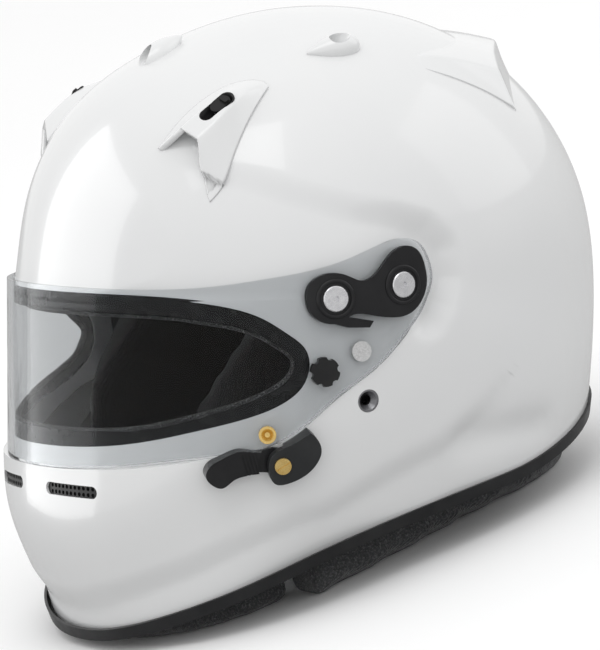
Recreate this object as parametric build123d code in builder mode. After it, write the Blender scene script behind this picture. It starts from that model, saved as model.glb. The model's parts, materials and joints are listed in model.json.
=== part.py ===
"""Full-face motor racing helmet with a hinged clear visor, standing on its neck roll.

The helmet is described in an upright frame about its core, a point inside the shell on the line
between the temples: across (+X, the wearer's left), back and up. The standing helmet leans by
stance_angle, and place() turns an upright place into the frame of the part, whose origin lies on
the floor under the middle of the helmet.
"""
import os
from math import asin, atan2, cos, hypot, pi, radians, sin, sqrt

from build123d import *

os.makedirs("parts", exist_ok=True)

# Shell
half_width = 127.0
front_reach = 132.5
rear_reach = 163.5
crown_height = 131.5
lower_reach = 218.0
shell_wall = 4.0
recess_wall = 3.0
temple_wall = 10.0
stance_angle = 18.6
core_height = 137.0
core_set_back = 3.2
joint_gap = 0.3
overrun = 30.0

# Neckline, as heights above the floor
neck_height = 28.0
trim_height = 6.2
trim_wall = 1.6

# Visor
visor_half_width = 127.5
visor_reach = 133.8
visor_wall = 3.0
visor_gap = 0.4
hinge_forward = 3.2
hinge_rise = 0.5
post_radius = 4.0
post_flange_radius = 8.0
post_depth = 5.0
running_clearance = 0.05
arm_wall = 2.2
screw_head_radius = 6.2
screw_head_height = 1.2
screw_shank_radius = 2.0
screw_key_radius = 1.6
screw_length = 9.0
tear_off_radius = 7.1
tear_off_height = 3.6
tear_off_stem_radius = 2.5
disc_radius = 4.9
disc_height = 0.6

arm_screw_spacing = 34.5
notch_count = 6

# Latch
latch_forward = 61.0
latch_drop = 83.0
lever_length = 37.0
lever_height = 6.5
lever_sink = 6.0
lever_lift = 0.8
lever_hub_height = 3.2
cover_height = 9.0
latch_screw_radius = 2.5
latch_head_radius = 4.0
rib_pitch = 1.6
rib_count = 5
stud_radius = 4.2
stud_stem_radius = 2.0
stud_height = 4.0

# Vents and ducts
vent_length = 38.0
vent_width = 6.0
vent_inner_reach = 13.0
vent_drop = 100.5
grille_sink = 1.5
grille_wall = 1.2
grille_columns = 11
grille_rows = 2
duct_forward = 74.7
duct_rise = 82.3
duct_half_length = 30.0
duct_height = 9.0
slider_length = 11.0
slider_width = 6.4
slider_travel = 5.0
slider_gap = 0.3
slider_depth = 2.5
slider_knob_height = 1.5
hood_half_length = 14.0
hood_mouth_radius = 4.0
exhaust_forward = 8.0
exhaust_rise = 112.0
spoiler_set_back = 10.0
spoiler_rise = 17.5

# Head restraint inserts
restraint_forward = 19.0
restraint_drop = 55.0
insert_radius = 5.5
insert_length = 8.0
insert_sink = 0.5
insert_bore_radius = 2.5
insert_mouth_radius = 4.6

# Chin strap
strap_width = 25.0
strap_wall = 1.6
strap_length = 60.0
strap_set_back = 8.0
strap_hang = 12.0
ring_wire_radius = 2.0
ring_drop = 24.0

# Eyeport
gasket_band = 6.5
gasket_overlap = 2.5
gasket_proud = 1.1
gasket_depth = 9.0

# Liner layers, as depths below the outer skin
foam_wall = 36.0
temple_foam_depth = 41.0
crown_pad_wall = 8.0
cheek_face_half_gap = 56.0
chin_foam_wall = 22.0
neck_roll_height = 22.0
skirt_height = 19.0
soft_gap = 0.3

# Lean, frames and places
lean = radians(stance_angle)
side_plane = Plane(
    origin=(0, core_set_back, core_height),
    x_dir=(0, cos(lean), -sin(lean)),
    z_dir=(1, 0, 0),
)
plan_plane = Plane(
    origin=(0, core_set_back, core_height),
    x_dir=(1, 0, 0),
    z_dir=(0, sin(lean), cos(lean)),
)


def turn(across, back, up):
    """A direction of the upright frame in the frame of the standing helmet."""
    return Vector(across, back * cos(lean) + up * sin(lean), -back * sin(lean) + up * cos(lean))


def place(across, back, up):
    """A place of the upright frame in the frame of the standing helmet."""
    return Vector(0, core_set_back, core_height) + turn(across, back, up)


# The outline of the helmet on its middle plane, from the underside up the front and over the
# crown: shares of the reach backward and upward, and how square the cross-section is there
profile_shares = [
    (-0.113, -1.0, 2.2),
    (-0.732, -0.931, 2.2),
    (-0.894, -0.732, 2.2),
    (-1.015, -0.555, 2.2),
    (-1.03, -0.422, 2.2),
    (-1.042, -0.236, 2.15),
    (-1.0, -0.041, 2.05),
    (-0.936, 0.316, 2.05),
    (-0.758, 0.643, 2.05),
    (-0.4, 0.878, 2.1),
    (0.03, 1.0, 2.2),
    (0.404, 0.962, 2.25),
    (0.74, 0.722, 2.25),
    (0.942, 0.335, 2.25),
    (1.0, -0.053, 2.2),
    (0.972, -0.284, 2.3),
    (0.908, -0.53, 2.3),
    (0.587, -0.858, 2.2),
]


def profile_point(back_share, up_share):
    """A place on the middle plane from its shares of the reaches."""
    back = back_share * (rear_reach if back_share > 0 else front_reach)
    up = up_share * (crown_height if up_share > 0 else lower_reach)
    return back, up


def slice_points(share, depth):
    """The outline of the body, sunk by a depth, where the slice lies at a share of its width."""
    points = []
    for back_share, up_share, squareness in profile_shares:
        back, up = profile_point(back_share, up_share)
        reach = hypot(back, up)
        shrink = (1 - abs(share) ** squareness) ** (1 / squareness) * (reach - depth) / reach
        points.append((back * shrink, up * shrink))
    return points


slice_count = 17
end_share = 0.997
slice_shares = [
    sin(asin(end_share) * (2 * number / (slice_count - 1) - 1)) for number in range(slice_count)
]


def body_block(width, depth):
    """The closed egg that the helmet is cut from, with its half width and depth below the skin."""
    with BuildPart() as block:
        for share in slice_shares:
            with BuildSketch(side_plane.offset(share * width)):
                with BuildLine():
                    outline = Spline(*slice_points(share, depth), periodic=True, mode=Mode.PRIVATE)
                    for quarter in range(4):
                        add(outline.trim(quarter / 4, (quarter + 1) / 4))
                make_face()
        loft()
    return block.part


# The reach of the outline at each angle, which gives the skin at any place
outline_steps = 360
middle_outline = Spline(*[profile_point(*shares[:2]) for shares in profile_shares], periodic=True)
outline_places = [middle_outline @ (step / outline_steps) for step in range(outline_steps)]
outline_table = sorted((atan2(spot.Y, spot.X), hypot(spot.X, spot.Y)) for spot in outline_places)
square_table = sorted(
    (atan2(*reversed(profile_point(*shares[:2]))), shares[2]) for shares in profile_shares
)


def table_value(table, angle):
    """The value at an angle, between the two rows of a full-turn table that it falls between."""
    rows = [(table[-1][0] - 2 * pi, table[-1][1]), *table, (table[0][0] + 2 * pi, table[0][1])]
    for low, high in zip(rows, rows[1:]):
        if low[0] <= angle <= high[0]:
            part = (angle - low[0]) / (high[0] - low[0])
            return low[1] + part * (high[1] - low[1])
    return rows[0][1]


def skin_across(back, up):
    """How far from the middle plane the skin lies at a place of the side view."""
    angle = atan2(up, back)
    share = hypot(back, up) / table_value(outline_table, angle)
    squareness = table_value(square_table, angle)
    return half_width * (1 - share**squareness) ** (1 / squareness)


def skin_normal(back, up, side=1):
    """The outward direction of the skin at a place of the side view, on one side."""
    step = shell_wall
    slope_back = (skin_across(back + step, up) - skin_across(back - step, up)) / (2 * step)
    slope_up = (skin_across(back, up + step) - skin_across(back, up - step)) / (2 * step)
    return turn(side, -slope_back, -slope_up).normalized()


def skin_place(back, up, side=1):
    """The place on the skin over a place of the side view, on one side."""
    return place(side * skin_across(back, up), back, up)


def skin_plane(back, up, along, side=1):
    """A plane that touches the skin, with its X direction along a direction of the upright frame."""
    normal = skin_normal(back, up, side)
    direction = turn(side * along[0], along[1], along[2])
    return Plane(
        origin=skin_place(back, up, side),
        x_dir=direction - normal * direction.dot(normal),
        z_dir=normal,
    )


outer_block = body_block(half_width, 0)
inner_block = body_block(half_width - temple_wall, shell_wall)
foam_block = body_block(half_width - temple_wall - joint_gap, shell_wall + joint_gap)
foam_depth = shell_wall + foam_wall
hollow_block = body_block(half_width - temple_foam_depth, foam_depth)
pad_block = body_block(half_width - temple_foam_depth - joint_gap, foam_depth + joint_gap)
head_block = body_block(
    half_width - temple_foam_depth - crown_pad_wall, foam_depth + crown_pad_wall
)


def scaled(shares, size):
    """Points at shares of one size."""
    return [(first * size, second * size) for first, second in shares]


# Side outlines, in the side view about the core or about the hinge
eyeport_upper_shares = [
    (-1.25, -0.06),
    (-0.62, -0.066),
    (-0.487, -0.119),
    (-0.412, -0.181),
    (-0.377, -0.236),
    (-0.367, -0.273),
    (-0.387, -0.317),
    (-0.418, -0.358),
    (-0.495, -0.423),
    (-0.566, -0.468),
    (-0.694, -0.521),
    (-0.808, -0.566),
    (-0.913, -0.589),
    (-1.25, -0.625),
]


def shifted(points, amount):
    """The points of an open outline moved square to it, outward for a positive amount."""
    moved = []
    for number, (first, second) in enumerate(points):
        before = points[max(number - 1, 0)]
        after = points[min(number + 1, len(points) - 1)]
        run = (after[0] - before[0], after[1] - before[1])
        step = amount / hypot(*run)
        moved.append((first - run[1] * step, second + run[0] * step))
    return moved


def eyeport_face(inset):
    """The eyeport from the side, smaller all round by an inset and open to the front."""
    with BuildSketch(Plane.XY) as face:
        with BuildLine():
            edge = Spline(*shifted(scaled(eyeport_upper_shares, front_reach), -inset))
            Line(edge @ 0, edge @ 1)
        make_face()
    return face.sketch


visor_edge_shares = [
    (-1.15, -0.012),
    (-0.83, -0.018),
    (-0.665, -0.006),
    (-0.463, 0.028),
    (-0.232, 0.081),
    (-0.078, 0.142),
    (0.0, 0.164),
    (0.07, 0.15),
    (0.115, 0.09),
    (0.13, 0.02),
    (0.11, -0.05),
    (0.077, -0.112),
    (0.036, -0.161),
    (-0.081, -0.28),
    (-0.241, -0.395),
    (-0.366, -0.506),
    (-0.5, -0.58),
    (-0.628, -0.603),
    (-0.725, -0.62),
    (-0.83, -0.643),
    (-1.15, -0.69),
]
hinge_plane = Plane(
    origin=place(0, -hinge_forward, hinge_rise),
    x_dir=(0, cos(lean), -sin(lean)),
    z_dir=(1, 0, 0),
)
visor_plane = Plane(
    origin=place(0, -hinge_forward, hinge_rise), x_dir=(1, 0, 0), z_dir=(0, sin(lean), cos(lean))
)


def visor_face(outset):
    """The visor from the side about its hinge, larger all round by an outset."""
    with BuildSketch(Plane.XY) as face:
        with BuildLine():
            edge = Spline(*shifted(scaled(visor_edge_shares, visor_reach), outset))
            Line(edge @ 0, edge @ 1)
        make_face()
    return face.sketch


def visor_plan_block(inset):
    """Everything inside the visor's curve in plan, straight-sided behind the hinge."""
    with BuildPart() as block:
        with BuildSketch(visor_plane.offset(-visor_reach)):
            Ellipse(visor_half_width - inset, visor_reach - inset)
            with Locations((0, visor_reach)):
                Rectangle(2 * (visor_half_width - inset), 2 * visor_reach)
        extrude(amount=2 * visor_reach)
    return block.part


def swung_block(inset):
    """Everything that the visor's inside clears as it swings."""
    reach = visor_reach - inset
    width = visor_half_width - inset
    with BuildPart() as block:
        with BuildSketch(visor_plane):
            Ellipse(width, reach)
            with Locations((0, reach)):
                Rectangle(2 * width, 2 * reach, mode=Mode.SUBTRACT)
        revolve(axis=Axis(hinge_plane.origin, (1, 0, 0)), revolution_arc=360)
    return block.part


swing_shares = [
    (0.0, 0.0),
    (0.105, -0.095),
    (0.133, -0.051),
    (0.155, 0.022),
    (0.144, 0.101),
    (0.088, 0.152),
    (-0.01, 0.185),
    (-0.165, 0.205),
    (-0.39, 0.275),
    (-0.585, 0.347),
    (-0.735, 0.445),
    (-1.3, 0.79),
    (-1.3, -0.02),
]


def visor_space(outset, inset):
    """Everything outside an inset of the visor's curve, within its side outline and an outset."""
    with BuildPart() as space:
        with BuildSketch(hinge_plane):
            add(visor_face(outset))
        extrude(amount=half_width + overrun, both=True)
        add(visor_plan_block(inset), mode=Mode.SUBTRACT)
    return space.part


visor_room = visor_space(3 * visor_gap, visor_wall + visor_gap)
visor_seat_room = visor_space(3 * visor_gap + recess_wall, visor_wall + visor_gap + recess_wall)
liner_visor_room = visor_space(
    3 * visor_gap + recess_wall + soft_gap, visor_wall + visor_gap + recess_wall + soft_gap
)
with BuildPart() as swing_room:
    with BuildSketch(hinge_plane):
        with BuildLine():
            Polyline(*scaled(swing_shares, visor_reach), close=True)
        make_face()
    extrude(amount=half_width + overrun, both=True)
    add(swung_block(visor_wall + 2 * visor_gap), mode=Mode.SUBTRACT)


# Height of the neckline from front to rear, as shares of the front reach and of the neck height
neck_shares = [
    (-1.32, 0.2),
    (-1.1, 0.57),
    (-0.9, 0.77),
    (-0.57, 1.0),
    (-0.2, 1.01),
    (0.15, 0.96),
    (0.35, 0.9),
    (0.53, 0.93),
    (0.75, 1.04),
    (1.28, 1.25),
]


def below_neckline(lift):
    """A block of everything under the neckline, lifted by a height."""
    points = [
        (core_set_back + back_share * front_reach, height_share * neck_height + lift)
        for back_share, height_share in neck_shares
    ]
    with BuildPart() as block:
        with BuildSketch(Plane.YZ):
            with BuildLine():
                line = Spline(*points)
                front, rear = line @ 0, line @ 1
                Polyline(front, (front.X, -lower_reach), (rear.X, -lower_reach), rear)
            make_face()
        extrude(amount=half_width + overrun, both=True)
    return block.part


# Seats of the hardware on the visor and on the skin
recess_across = visor_half_width - visor_wall - visor_gap
arm_screw_place = (-arm_screw_spacing * 0.985, -arm_screw_spacing * 0.174)
tear_off_place = (-1.13 * arm_screw_spacing, -1.18 * arm_screw_spacing)
disc_place = (-0.6 * arm_screw_spacing, -0.91 * arm_screw_spacing)
stud_place = (-1.86 * arm_screw_spacing, -2.04 * arm_screw_spacing)


def visor_seat(spot, side=1, lift=0):
    """A plane on the visor's outer face at a side-view place about the hinge, X along its rim."""
    back, up = spot
    across = visor_half_width * sqrt(1 - (back / visor_reach) ** 2)
    normal = turn(side * across / visor_half_width**2, back / visor_reach**2, 0).normalized()
    origin = hinge_plane.origin + turn(side * across, back, up) + normal * lift
    return Plane(origin=origin, x_dir=turn(0, sin(lean), cos(lean)), z_dir=normal)


def hinge_seat(across, side=1):
    """A plane square to the hinge axis, at a distance across from the middle."""
    origin = hinge_plane.origin + Vector(side * across, 0, 0)
    return Plane(origin=origin, x_dir=(0, 1, 0), z_dir=(side, 0, 0))


restraint_seats = [
    skin_plane(-restraint_forward, -restraint_drop, (0, 1, 0), side) for side in (1, -1)
]
vent_middle = (vent_inner_reach + vent_length / 2, -vent_drop)
front_plane = Plane(
    origin=place(0, -front_reach, 0), x_dir=(1, 0, 0), z_dir=turn(0, -1, 0)
)

# Shell
trim_foot = below_neckline(-trim_height)
shell_foot = below_neckline(trim_wall - trim_height)
neck_line = below_neckline(0)
with BuildPart() as shell_hollow:
    add(inner_block)
    add(visor_seat_room, mode=Mode.SUBTRACT)
with BuildPart() as outer_shell:
    add(outer_block)
    add(shell_hollow.part, mode=Mode.SUBTRACT)
    add(shell_foot, mode=Mode.SUBTRACT)
    with BuildSketch(side_plane):
        add(eyeport_face(gasket_overlap))
    extrude(amount=half_width + overrun, both=True, mode=Mode.SUBTRACT)
    add(visor_room, mode=Mode.SUBTRACT)
    add(swing_room.part, mode=Mode.SUBTRACT)
    for side in (1, -1):
        with BuildSketch(hinge_seat(recess_across - post_depth, side)):
            Circle(post_flange_radius)
        extrude(amount=overrun, mode=Mode.SUBTRACT)
    for seat in restraint_seats:
        with BuildSketch(seat.offset(-insert_length)):
            Circle(insert_radius)
        extrude(amount=overrun, mode=Mode.SUBTRACT)
    with BuildSketch(front_plane):
        with Locations(vent_middle, (-vent_middle[0], vent_middle[1])):
            SlotOverall(vent_length, vent_width)
    extrude(amount=overrun, both=True, mode=Mode.SUBTRACT)
outer_shell.part.label = "outer_shell"
export_step(outer_shell.part, "parts/outer_shell.step")

# Rubber round the eyeport
gasket_skin = body_block(half_width + gasket_proud, -gasket_proud)
gasket_core = body_block(half_width - temple_wall - gasket_proud, gasket_depth)
with BuildPart() as eyeport_gasket:
    with BuildSketch(side_plane):
        add(eyeport_face(0))
        add(eyeport_face(gasket_band), mode=Mode.SUBTRACT)
    extrude(amount=half_width + overrun, both=True)
    add(gasket_skin, mode=Mode.INTERSECT)
    add(gasket_core, mode=Mode.SUBTRACT)
    add(outer_shell.part, mode=Mode.SUBTRACT)
    add(visor_room, mode=Mode.SUBTRACT)
    add(swing_room.part, mode=Mode.SUBTRACT)
eyeport_gasket.part.label = "eyeport_gasket"
export_step(eyeport_gasket.part, "parts/eyeport_gasket.step")

# Rubber round the neckline
trim_skin = body_block(half_width + trim_wall, -trim_wall)
trim_core = body_block(half_width - temple_wall - trim_wall, shell_wall + trim_wall)
with BuildPart() as edge_trim:
    add(trim_skin)
    add(trim_core, mode=Mode.SUBTRACT)
    add(trim_foot, mode=Mode.SUBTRACT)
    add(neck_line, mode=Mode.INTERSECT)
    add(outer_shell.part, mode=Mode.SUBTRACT)
edge_trim.part.label = "edge_trim"
export_step(edge_trim.part, "parts/edge_trim.step")

# Side-view regions of the layers inside, as shares of the front reach about the core
crown_foam_shares = [
    (-1.2, 0.03),
    (-0.42, 0.015),
    (-0.29, -0.14),
    (-0.25, -0.38),
    (-0.23, -1.5),
    (1.4, -1.5),
    (1.4, 1.3),
    (-1.2, 1.3),
]
chin_foam_shares = [
    (-1.2, -0.7),
    (-0.7, -0.62),
    (-0.45, -0.48),
    (-0.3, -0.42),
    (-0.27, -1.5),
    (-1.4, -1.5),
]
crown_pad_shares = [
    (-1.2, 0.12),
    (0.17, 0.12),
    (0.2, -0.45),
    (1.4, -0.55),
    (1.4, 1.3),
    (-1.2, 1.3),
]
cheek_pad_shares = [
    (-0.75, -0.62),
    (-0.55, -0.38),
    (-0.3, -0.06),
    (0.14, 0.08),
    (0.16, -1.5),
    (-0.8, -1.5),
]


def side_region(shares):
    """A prism across the helmet over a side-view outline in shares of the front reach."""
    with BuildPart() as region:
        with BuildSketch(side_plane):
            with BuildLine():
                Polyline(*scaled(shares, front_reach), close=True)
            make_face()
        extrude(amount=half_width + overrun, both=True)
    return region.part


def floor_slab(height):
    """A slab on the floor under the whole helmet."""
    with BuildPart() as slab:
        with BuildSketch(Plane.XY.offset(-lower_reach)):
            Rectangle(2 * (half_width + overrun), 2 * (rear_reach + overrun))
        extrude(amount=height + lower_reach)
    return slab.part


eyeport_room = extrude(side_plane * eyeport_face(-soft_gap), half_width + overrun, both=True)
liner_foot = floor_slab(neck_roll_height + soft_gap)
with BuildPart() as trim_room:
    add(below_neckline(soft_gap))
    add(
        body_block(
            half_width - temple_wall - trim_wall - soft_gap, shell_wall + trim_wall + soft_gap
        ),
        mode=Mode.SUBTRACT,
    )

# Foam over the crown
with BuildPart() as impact_liner:
    add(foam_block)
    add(side_region(crown_foam_shares), mode=Mode.INTERSECT)
    add(hollow_block, mode=Mode.SUBTRACT)
    add(eyeport_room, mode=Mode.SUBTRACT)
    add(liner_foot, mode=Mode.SUBTRACT)
    add(trim_room.part, mode=Mode.SUBTRACT)
impact_liner.part.label = "impact_liner"
export_step(impact_liner.part, "parts/impact_liner.step")

# Foam in the chin bar
def chin_hollow(inset):
    """An upright oval prism that the chin bar's foam surrounds."""
    with BuildPart() as hollow:
        with BuildSketch(plan_plane.offset(-lower_reach)):
            Ellipse(
                half_width - temple_foam_depth - inset,
                front_reach - shell_wall - chin_foam_wall - inset,
            )
        extrude(amount=2 * lower_reach)
    return hollow.part


with BuildPart() as chin_liner:
    add(foam_block)
    add(side_region(chin_foam_shares), mode=Mode.INTERSECT)
    add(chin_hollow(0), mode=Mode.SUBTRACT)
    add(eyeport_room, mode=Mode.SUBTRACT)
    add(liner_visor_room, mode=Mode.SUBTRACT)
    add(liner_foot, mode=Mode.SUBTRACT)
    add(trim_room.part, mode=Mode.SUBTRACT)
chin_liner.part.label = "chin_liner"
export_step(chin_liner.part, "parts/chin_liner.step")

# Pad over the crown
with BuildPart() as crown_pad:
    add(pad_block)
    add(side_region(crown_pad_shares), mode=Mode.INTERSECT)
    add(head_block, mode=Mode.SUBTRACT)
    add(liner_foot, mode=Mode.SUBTRACT)
crown_pad.part.label = "crown_pad"
export_step(crown_pad.part, "parts/crown_pad.step")

# Cheek pads
with BuildPart() as cheek_pad_left:
    add(pad_block)
    add(side_region(cheek_pad_shares), mode=Mode.INTERSECT)
    add(chin_hollow(soft_gap), mode=Mode.INTERSECT)
    add(liner_foot, mode=Mode.SUBTRACT)
    with BuildSketch(Plane.YZ.offset(cheek_face_half_gap)):
        Rectangle(2 * (rear_reach + overrun), 2 * (lower_reach + overrun))
    extrude(amount=-2 * half_width, mode=Mode.SUBTRACT)
cheek_pad_left.part.label = "cheek_pad_left"
export_step(cheek_pad_left.part, "parts/cheek_pad_left.step")
cheek_pad_right = mirror(cheek_pad_left.part, about=Plane.YZ)
cheek_pad_right.label = "cheek_pad_right"
export_step(cheek_pad_right, "parts/cheek_pad_right.step")

# Soft skirts that the helmet stands on, as half outlines on the floor in shares of the half width
roll_outer_shares = [
    (0.68, -0.57),
    (0.645, -0.275),
    (0.605, 0.0),
    (0.545, 0.355),
    (0.475, 0.68),
    (0.33, 0.86),
    (0.0, 0.95),
]
roll_inner_shares = [
    (0.48, -0.75),
    (0.48, -0.2),
    (0.45, 0.2),
    (0.38, 0.52),
    (0.2, 0.67),
    (0.0, 0.71),
]
skirt_outer_shares = [
    (-0.5, -0.5),
    (-0.55, -0.76),
    (-0.51, -0.9),
    (-0.4, -1.04),
    (-0.22, -1.14),
    (0.0, -1.18),
]
skirt_inner_shares = [
    (-0.37, -0.45),
    (-0.38, -0.72),
    (-0.28, -0.93),
    (0.0, -1.0),
]
crown_shares = [(0.0, 0.985), (0.2, 1.0), (0.5, 0.965), (1.0, 0.93)]


def both_sides(shares, size):
    """A half outline, from one side to the middle, carried on to the other side."""
    half = scaled(shares, size)
    return half + [(-across, back) for across, back in reversed(half[:-1])]


def soft_ring(outer_shares, inner_shares, height, first, last):
    """A soft wall with a crowned outer side, flat on the floor, between two places front to rear."""
    with BuildPart() as ring:
        for height_share, spread in crown_shares:
            with BuildSketch(Plane.XY.offset(height_share * height)):
                with BuildLine():
                    edge = Spline(*both_sides(outer_shares, half_width * spread))
                    Line(edge @ 1, edge @ 0)
                make_face()
        loft()
        with BuildSketch(Plane.XY.offset(-height)):
            with BuildLine():
                edge = Spline(*both_sides(inner_shares, half_width))
                Line(edge @ 1, edge @ 0)
            make_face()
        extrude(amount=3 * height, mode=Mode.SUBTRACT)
        with BuildSketch(Plane.XY.offset(-height)):
            with Locations((0, (first + last) / 2)):
                Rectangle(3 * half_width, last - first)
        extrude(amount=3 * height, mode=Mode.INTERSECT)
    return ring.part


roll_front = -0.56 * half_width
with BuildPart() as neck_roll:
    add(soft_ring(roll_outer_shares, roll_inner_shares, neck_roll_height, roll_front, rear_reach))
neck_roll.part.label = "neck_roll"
export_step(neck_roll.part, "parts/neck_roll.step")
skirt_rear = roll_front - 3 * soft_gap
with BuildPart() as chin_skirt:
    add(soft_ring(skirt_outer_shares, skirt_inner_shares, skirt_height, -rear_reach, skirt_rear))
chin_skirt.part.label = "chin_skirt"
export_step(chin_skirt.part, "parts/chin_skirt.step")

# Visor
with BuildPart() as visor:
    with BuildSketch(hinge_plane):
        add(visor_face(0))
    extrude(amount=half_width + overrun, both=True)
    add(visor_plan_block(0), mode=Mode.INTERSECT)
    add(visor_plan_block(visor_wall), mode=Mode.SUBTRACT)
    for side in (1, -1):
        with BuildSketch(hinge_seat(recess_across, side)):
            Circle(post_radius + running_clearance)
        extrude(amount=overrun, mode=Mode.SUBTRACT)
        with BuildSketch(visor_seat(arm_screw_place, side, -overrun / 2)):
            Circle(screw_shank_radius)
        extrude(amount=overrun, mode=Mode.SUBTRACT)
        with BuildSketch(visor_seat(tear_off_place, side, -overrun / 2)):
            Circle(tear_off_stem_radius + running_clearance)
        extrude(amount=overrun, mode=Mode.SUBTRACT)
    with BuildSketch(visor_seat(stud_place, 1, -overrun / 2)):
        Circle(stud_stem_radius)
    extrude(amount=overrun, mode=Mode.SUBTRACT)
visor.part.label = "visor"
export_step(visor.part, "parts/visor.step")

# Visor arms, with the outline about the hinge in shares of the distance between the screws
arm_shares = [
    (-1.39, -0.17),
    (-1.28, 0.1),
    (-1.04, 0.183),
    (-0.8, 0.13),
    (-0.62, 0.07),
    (-0.43, 0.15),
    (-0.22, 0.4),
    (0.0, 0.535),
    (0.21, 0.49),
    (0.35, 0.25),
    (0.38, 0.0),
    (0.3, -0.23),
    (0.1, -0.41),
    (-0.18, -0.45),
    (-0.46, -0.415),
    (-0.75, -0.4),
    (-1.0, -0.52),
    (-1.28, -0.43),
]
arm_tab_shares = [
    (-1.1, -0.5),
    (-0.82, -0.575),
    (-0.51, -0.58),
    (-0.45, -0.49),
    (-0.8, -0.43),
    (-0.9, -0.38),
]
with BuildSketch(Plane.XY) as arm_face:
    with BuildLine():
        Spline(*scaled(arm_shares, arm_screw_spacing), periodic=True)
    make_face()
    with BuildLine():
        Polyline(*scaled(arm_tab_shares, arm_screw_spacing), close=True)
    make_face()
with BuildPart() as visor_arm_left:
    with BuildSketch(hinge_plane):
        add(arm_face.sketch)
    extrude(amount=half_width + overrun)
    add(visor_plan_block(-arm_wall), mode=Mode.INTERSECT)
    add(visor_plan_block(0), mode=Mode.SUBTRACT)
    with BuildSketch(hinge_seat(recess_across)):
        Circle(post_radius + running_clearance)
    extrude(amount=overrun, mode=Mode.SUBTRACT)
    with BuildSketch(visor_seat(arm_screw_place, 1, -overrun / 2)):
        Circle(screw_shank_radius)
    extrude(amount=overrun, mode=Mode.SUBTRACT)
visor_arm_left.part.label = "visor_arm_left"
export_step(visor_arm_left.part, "parts/visor_arm_left.step")
visor_arm_right = mirror(visor_arm_left.part, about=Plane.YZ)
visor_arm_right.label = "visor_arm_right"
export_step(visor_arm_right, "parts/visor_arm_right.step")


def screw(seat, shank_length):
    """A low round-headed screw with a hexagonal socket, its head's underside on the seat."""
    with BuildPart() as fastener:
        with BuildSketch(seat):
            Circle(screw_head_radius)
        extrude(amount=screw_head_height)
        head_top = fastener.faces().sort_by(Axis(seat.origin, seat.z_dir))[-1]
        chamfer(head_top.edges(), screw_head_height / 3)
        with BuildSketch(seat):
            Circle(screw_shank_radius)
        extrude(amount=-shank_length)
        with BuildSketch(seat.offset(screw_head_height)):
            RegularPolygon(screw_key_radius, 6)
        extrude(amount=-screw_head_height, mode=Mode.SUBTRACT)
    return fastener.part


# Pivot posts and screws
post_top = visor_half_width + arm_wall + running_clearance
with BuildPart() as pivot_post_left:
    with BuildSketch(hinge_seat(recess_across - post_depth)):
        Circle(post_flange_radius)
    extrude(amount=post_depth)
    with BuildSketch(hinge_seat(recess_across)):
        Circle(post_radius)
    extrude(amount=post_top - recess_across)
    with BuildSketch(hinge_seat(post_top)):
        Circle(screw_shank_radius)
    extrude(amount=-screw_length, mode=Mode.SUBTRACT)
pivot_post_left.part.label = "pivot_post_left"
export_step(pivot_post_left.part, "parts/pivot_post_left.step")
pivot_post_right = mirror(pivot_post_left.part, about=Plane.YZ)
pivot_post_right.label = "pivot_post_right"
export_step(pivot_post_right, "parts/pivot_post_right.step")
with BuildPart() as pivot_screws:
    for side in (1, -1):
        add(screw(hinge_seat(post_top, side), screw_length))
pivot_screws.part.label = "pivot_screws"
export_step(pivot_screws.part, "parts/pivot_screws.step")
with BuildPart() as arm_screws:
    for side in (1, -1):
        add(screw(visor_seat(arm_screw_place, side, arm_wall), arm_wall + visor_wall))
arm_screws.part.label = "arm_screws"
export_step(arm_screws.part, "parts/arm_screws.step")

# Posts for tear-off films
notch_radius = tear_off_radius / 4
with BuildPart() as tear_off_post_left:
    with BuildSketch(visor_seat(tear_off_place, 1, running_clearance)):
        Circle(tear_off_radius)
        with PolarLocations(tear_off_radius + notch_radius / 3, notch_count):
            Circle(notch_radius, mode=Mode.SUBTRACT)
    extrude(amount=tear_off_height)
    with BuildSketch(visor_seat(tear_off_place, 1, running_clearance)):
        Circle(tear_off_stem_radius)
    extrude(amount=-visor_wall)
tear_off_post_left.part.label = "tear_off_post_left"
export_step(tear_off_post_left.part, "parts/tear_off_post_left.step")
tear_off_post_right = mirror(tear_off_post_left.part, about=Plane.YZ)
tear_off_post_right.label = "tear_off_post_right"
export_step(tear_off_post_right, "parts/tear_off_post_right.step")

# Round disc on the visor
with BuildPart() as visor_disc:
    with BuildSketch(visor_seat(disc_place, 1, -visor_wall)):
        Circle(disc_radius)
    extrude(amount=overrun)
    add(visor_plan_block(-disc_height), mode=Mode.INTERSECT)
    add(visor_plan_block(0), mode=Mode.SUBTRACT)
visor_disc.part.label = "visor_disc"
export_step(visor_disc.part, "parts/visor_disc.step")

# Latch stud
with BuildPart() as latch_stud:
    with BuildSketch(visor_seat(stud_place, 1, 0)):
        Circle(stud_radius)
    extrude(amount=stud_height)
    with BuildSketch(visor_seat(stud_place, 1, 0)):
        Circle(stud_stem_radius)
    extrude(amount=-visor_wall)
    with BuildSketch(visor_seat(stud_place, 1, stud_height)):
        Circle(stud_radius * 0.7)
    with BuildSketch(visor_seat(stud_place, 1, stud_height / 2)):
        Circle(stud_radius * 0.3)
    loft(mode=Mode.SUBTRACT)
latch_stud.part.label = "latch_stud"
export_step(latch_stud.part, "parts/latch_stud.step")

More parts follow.
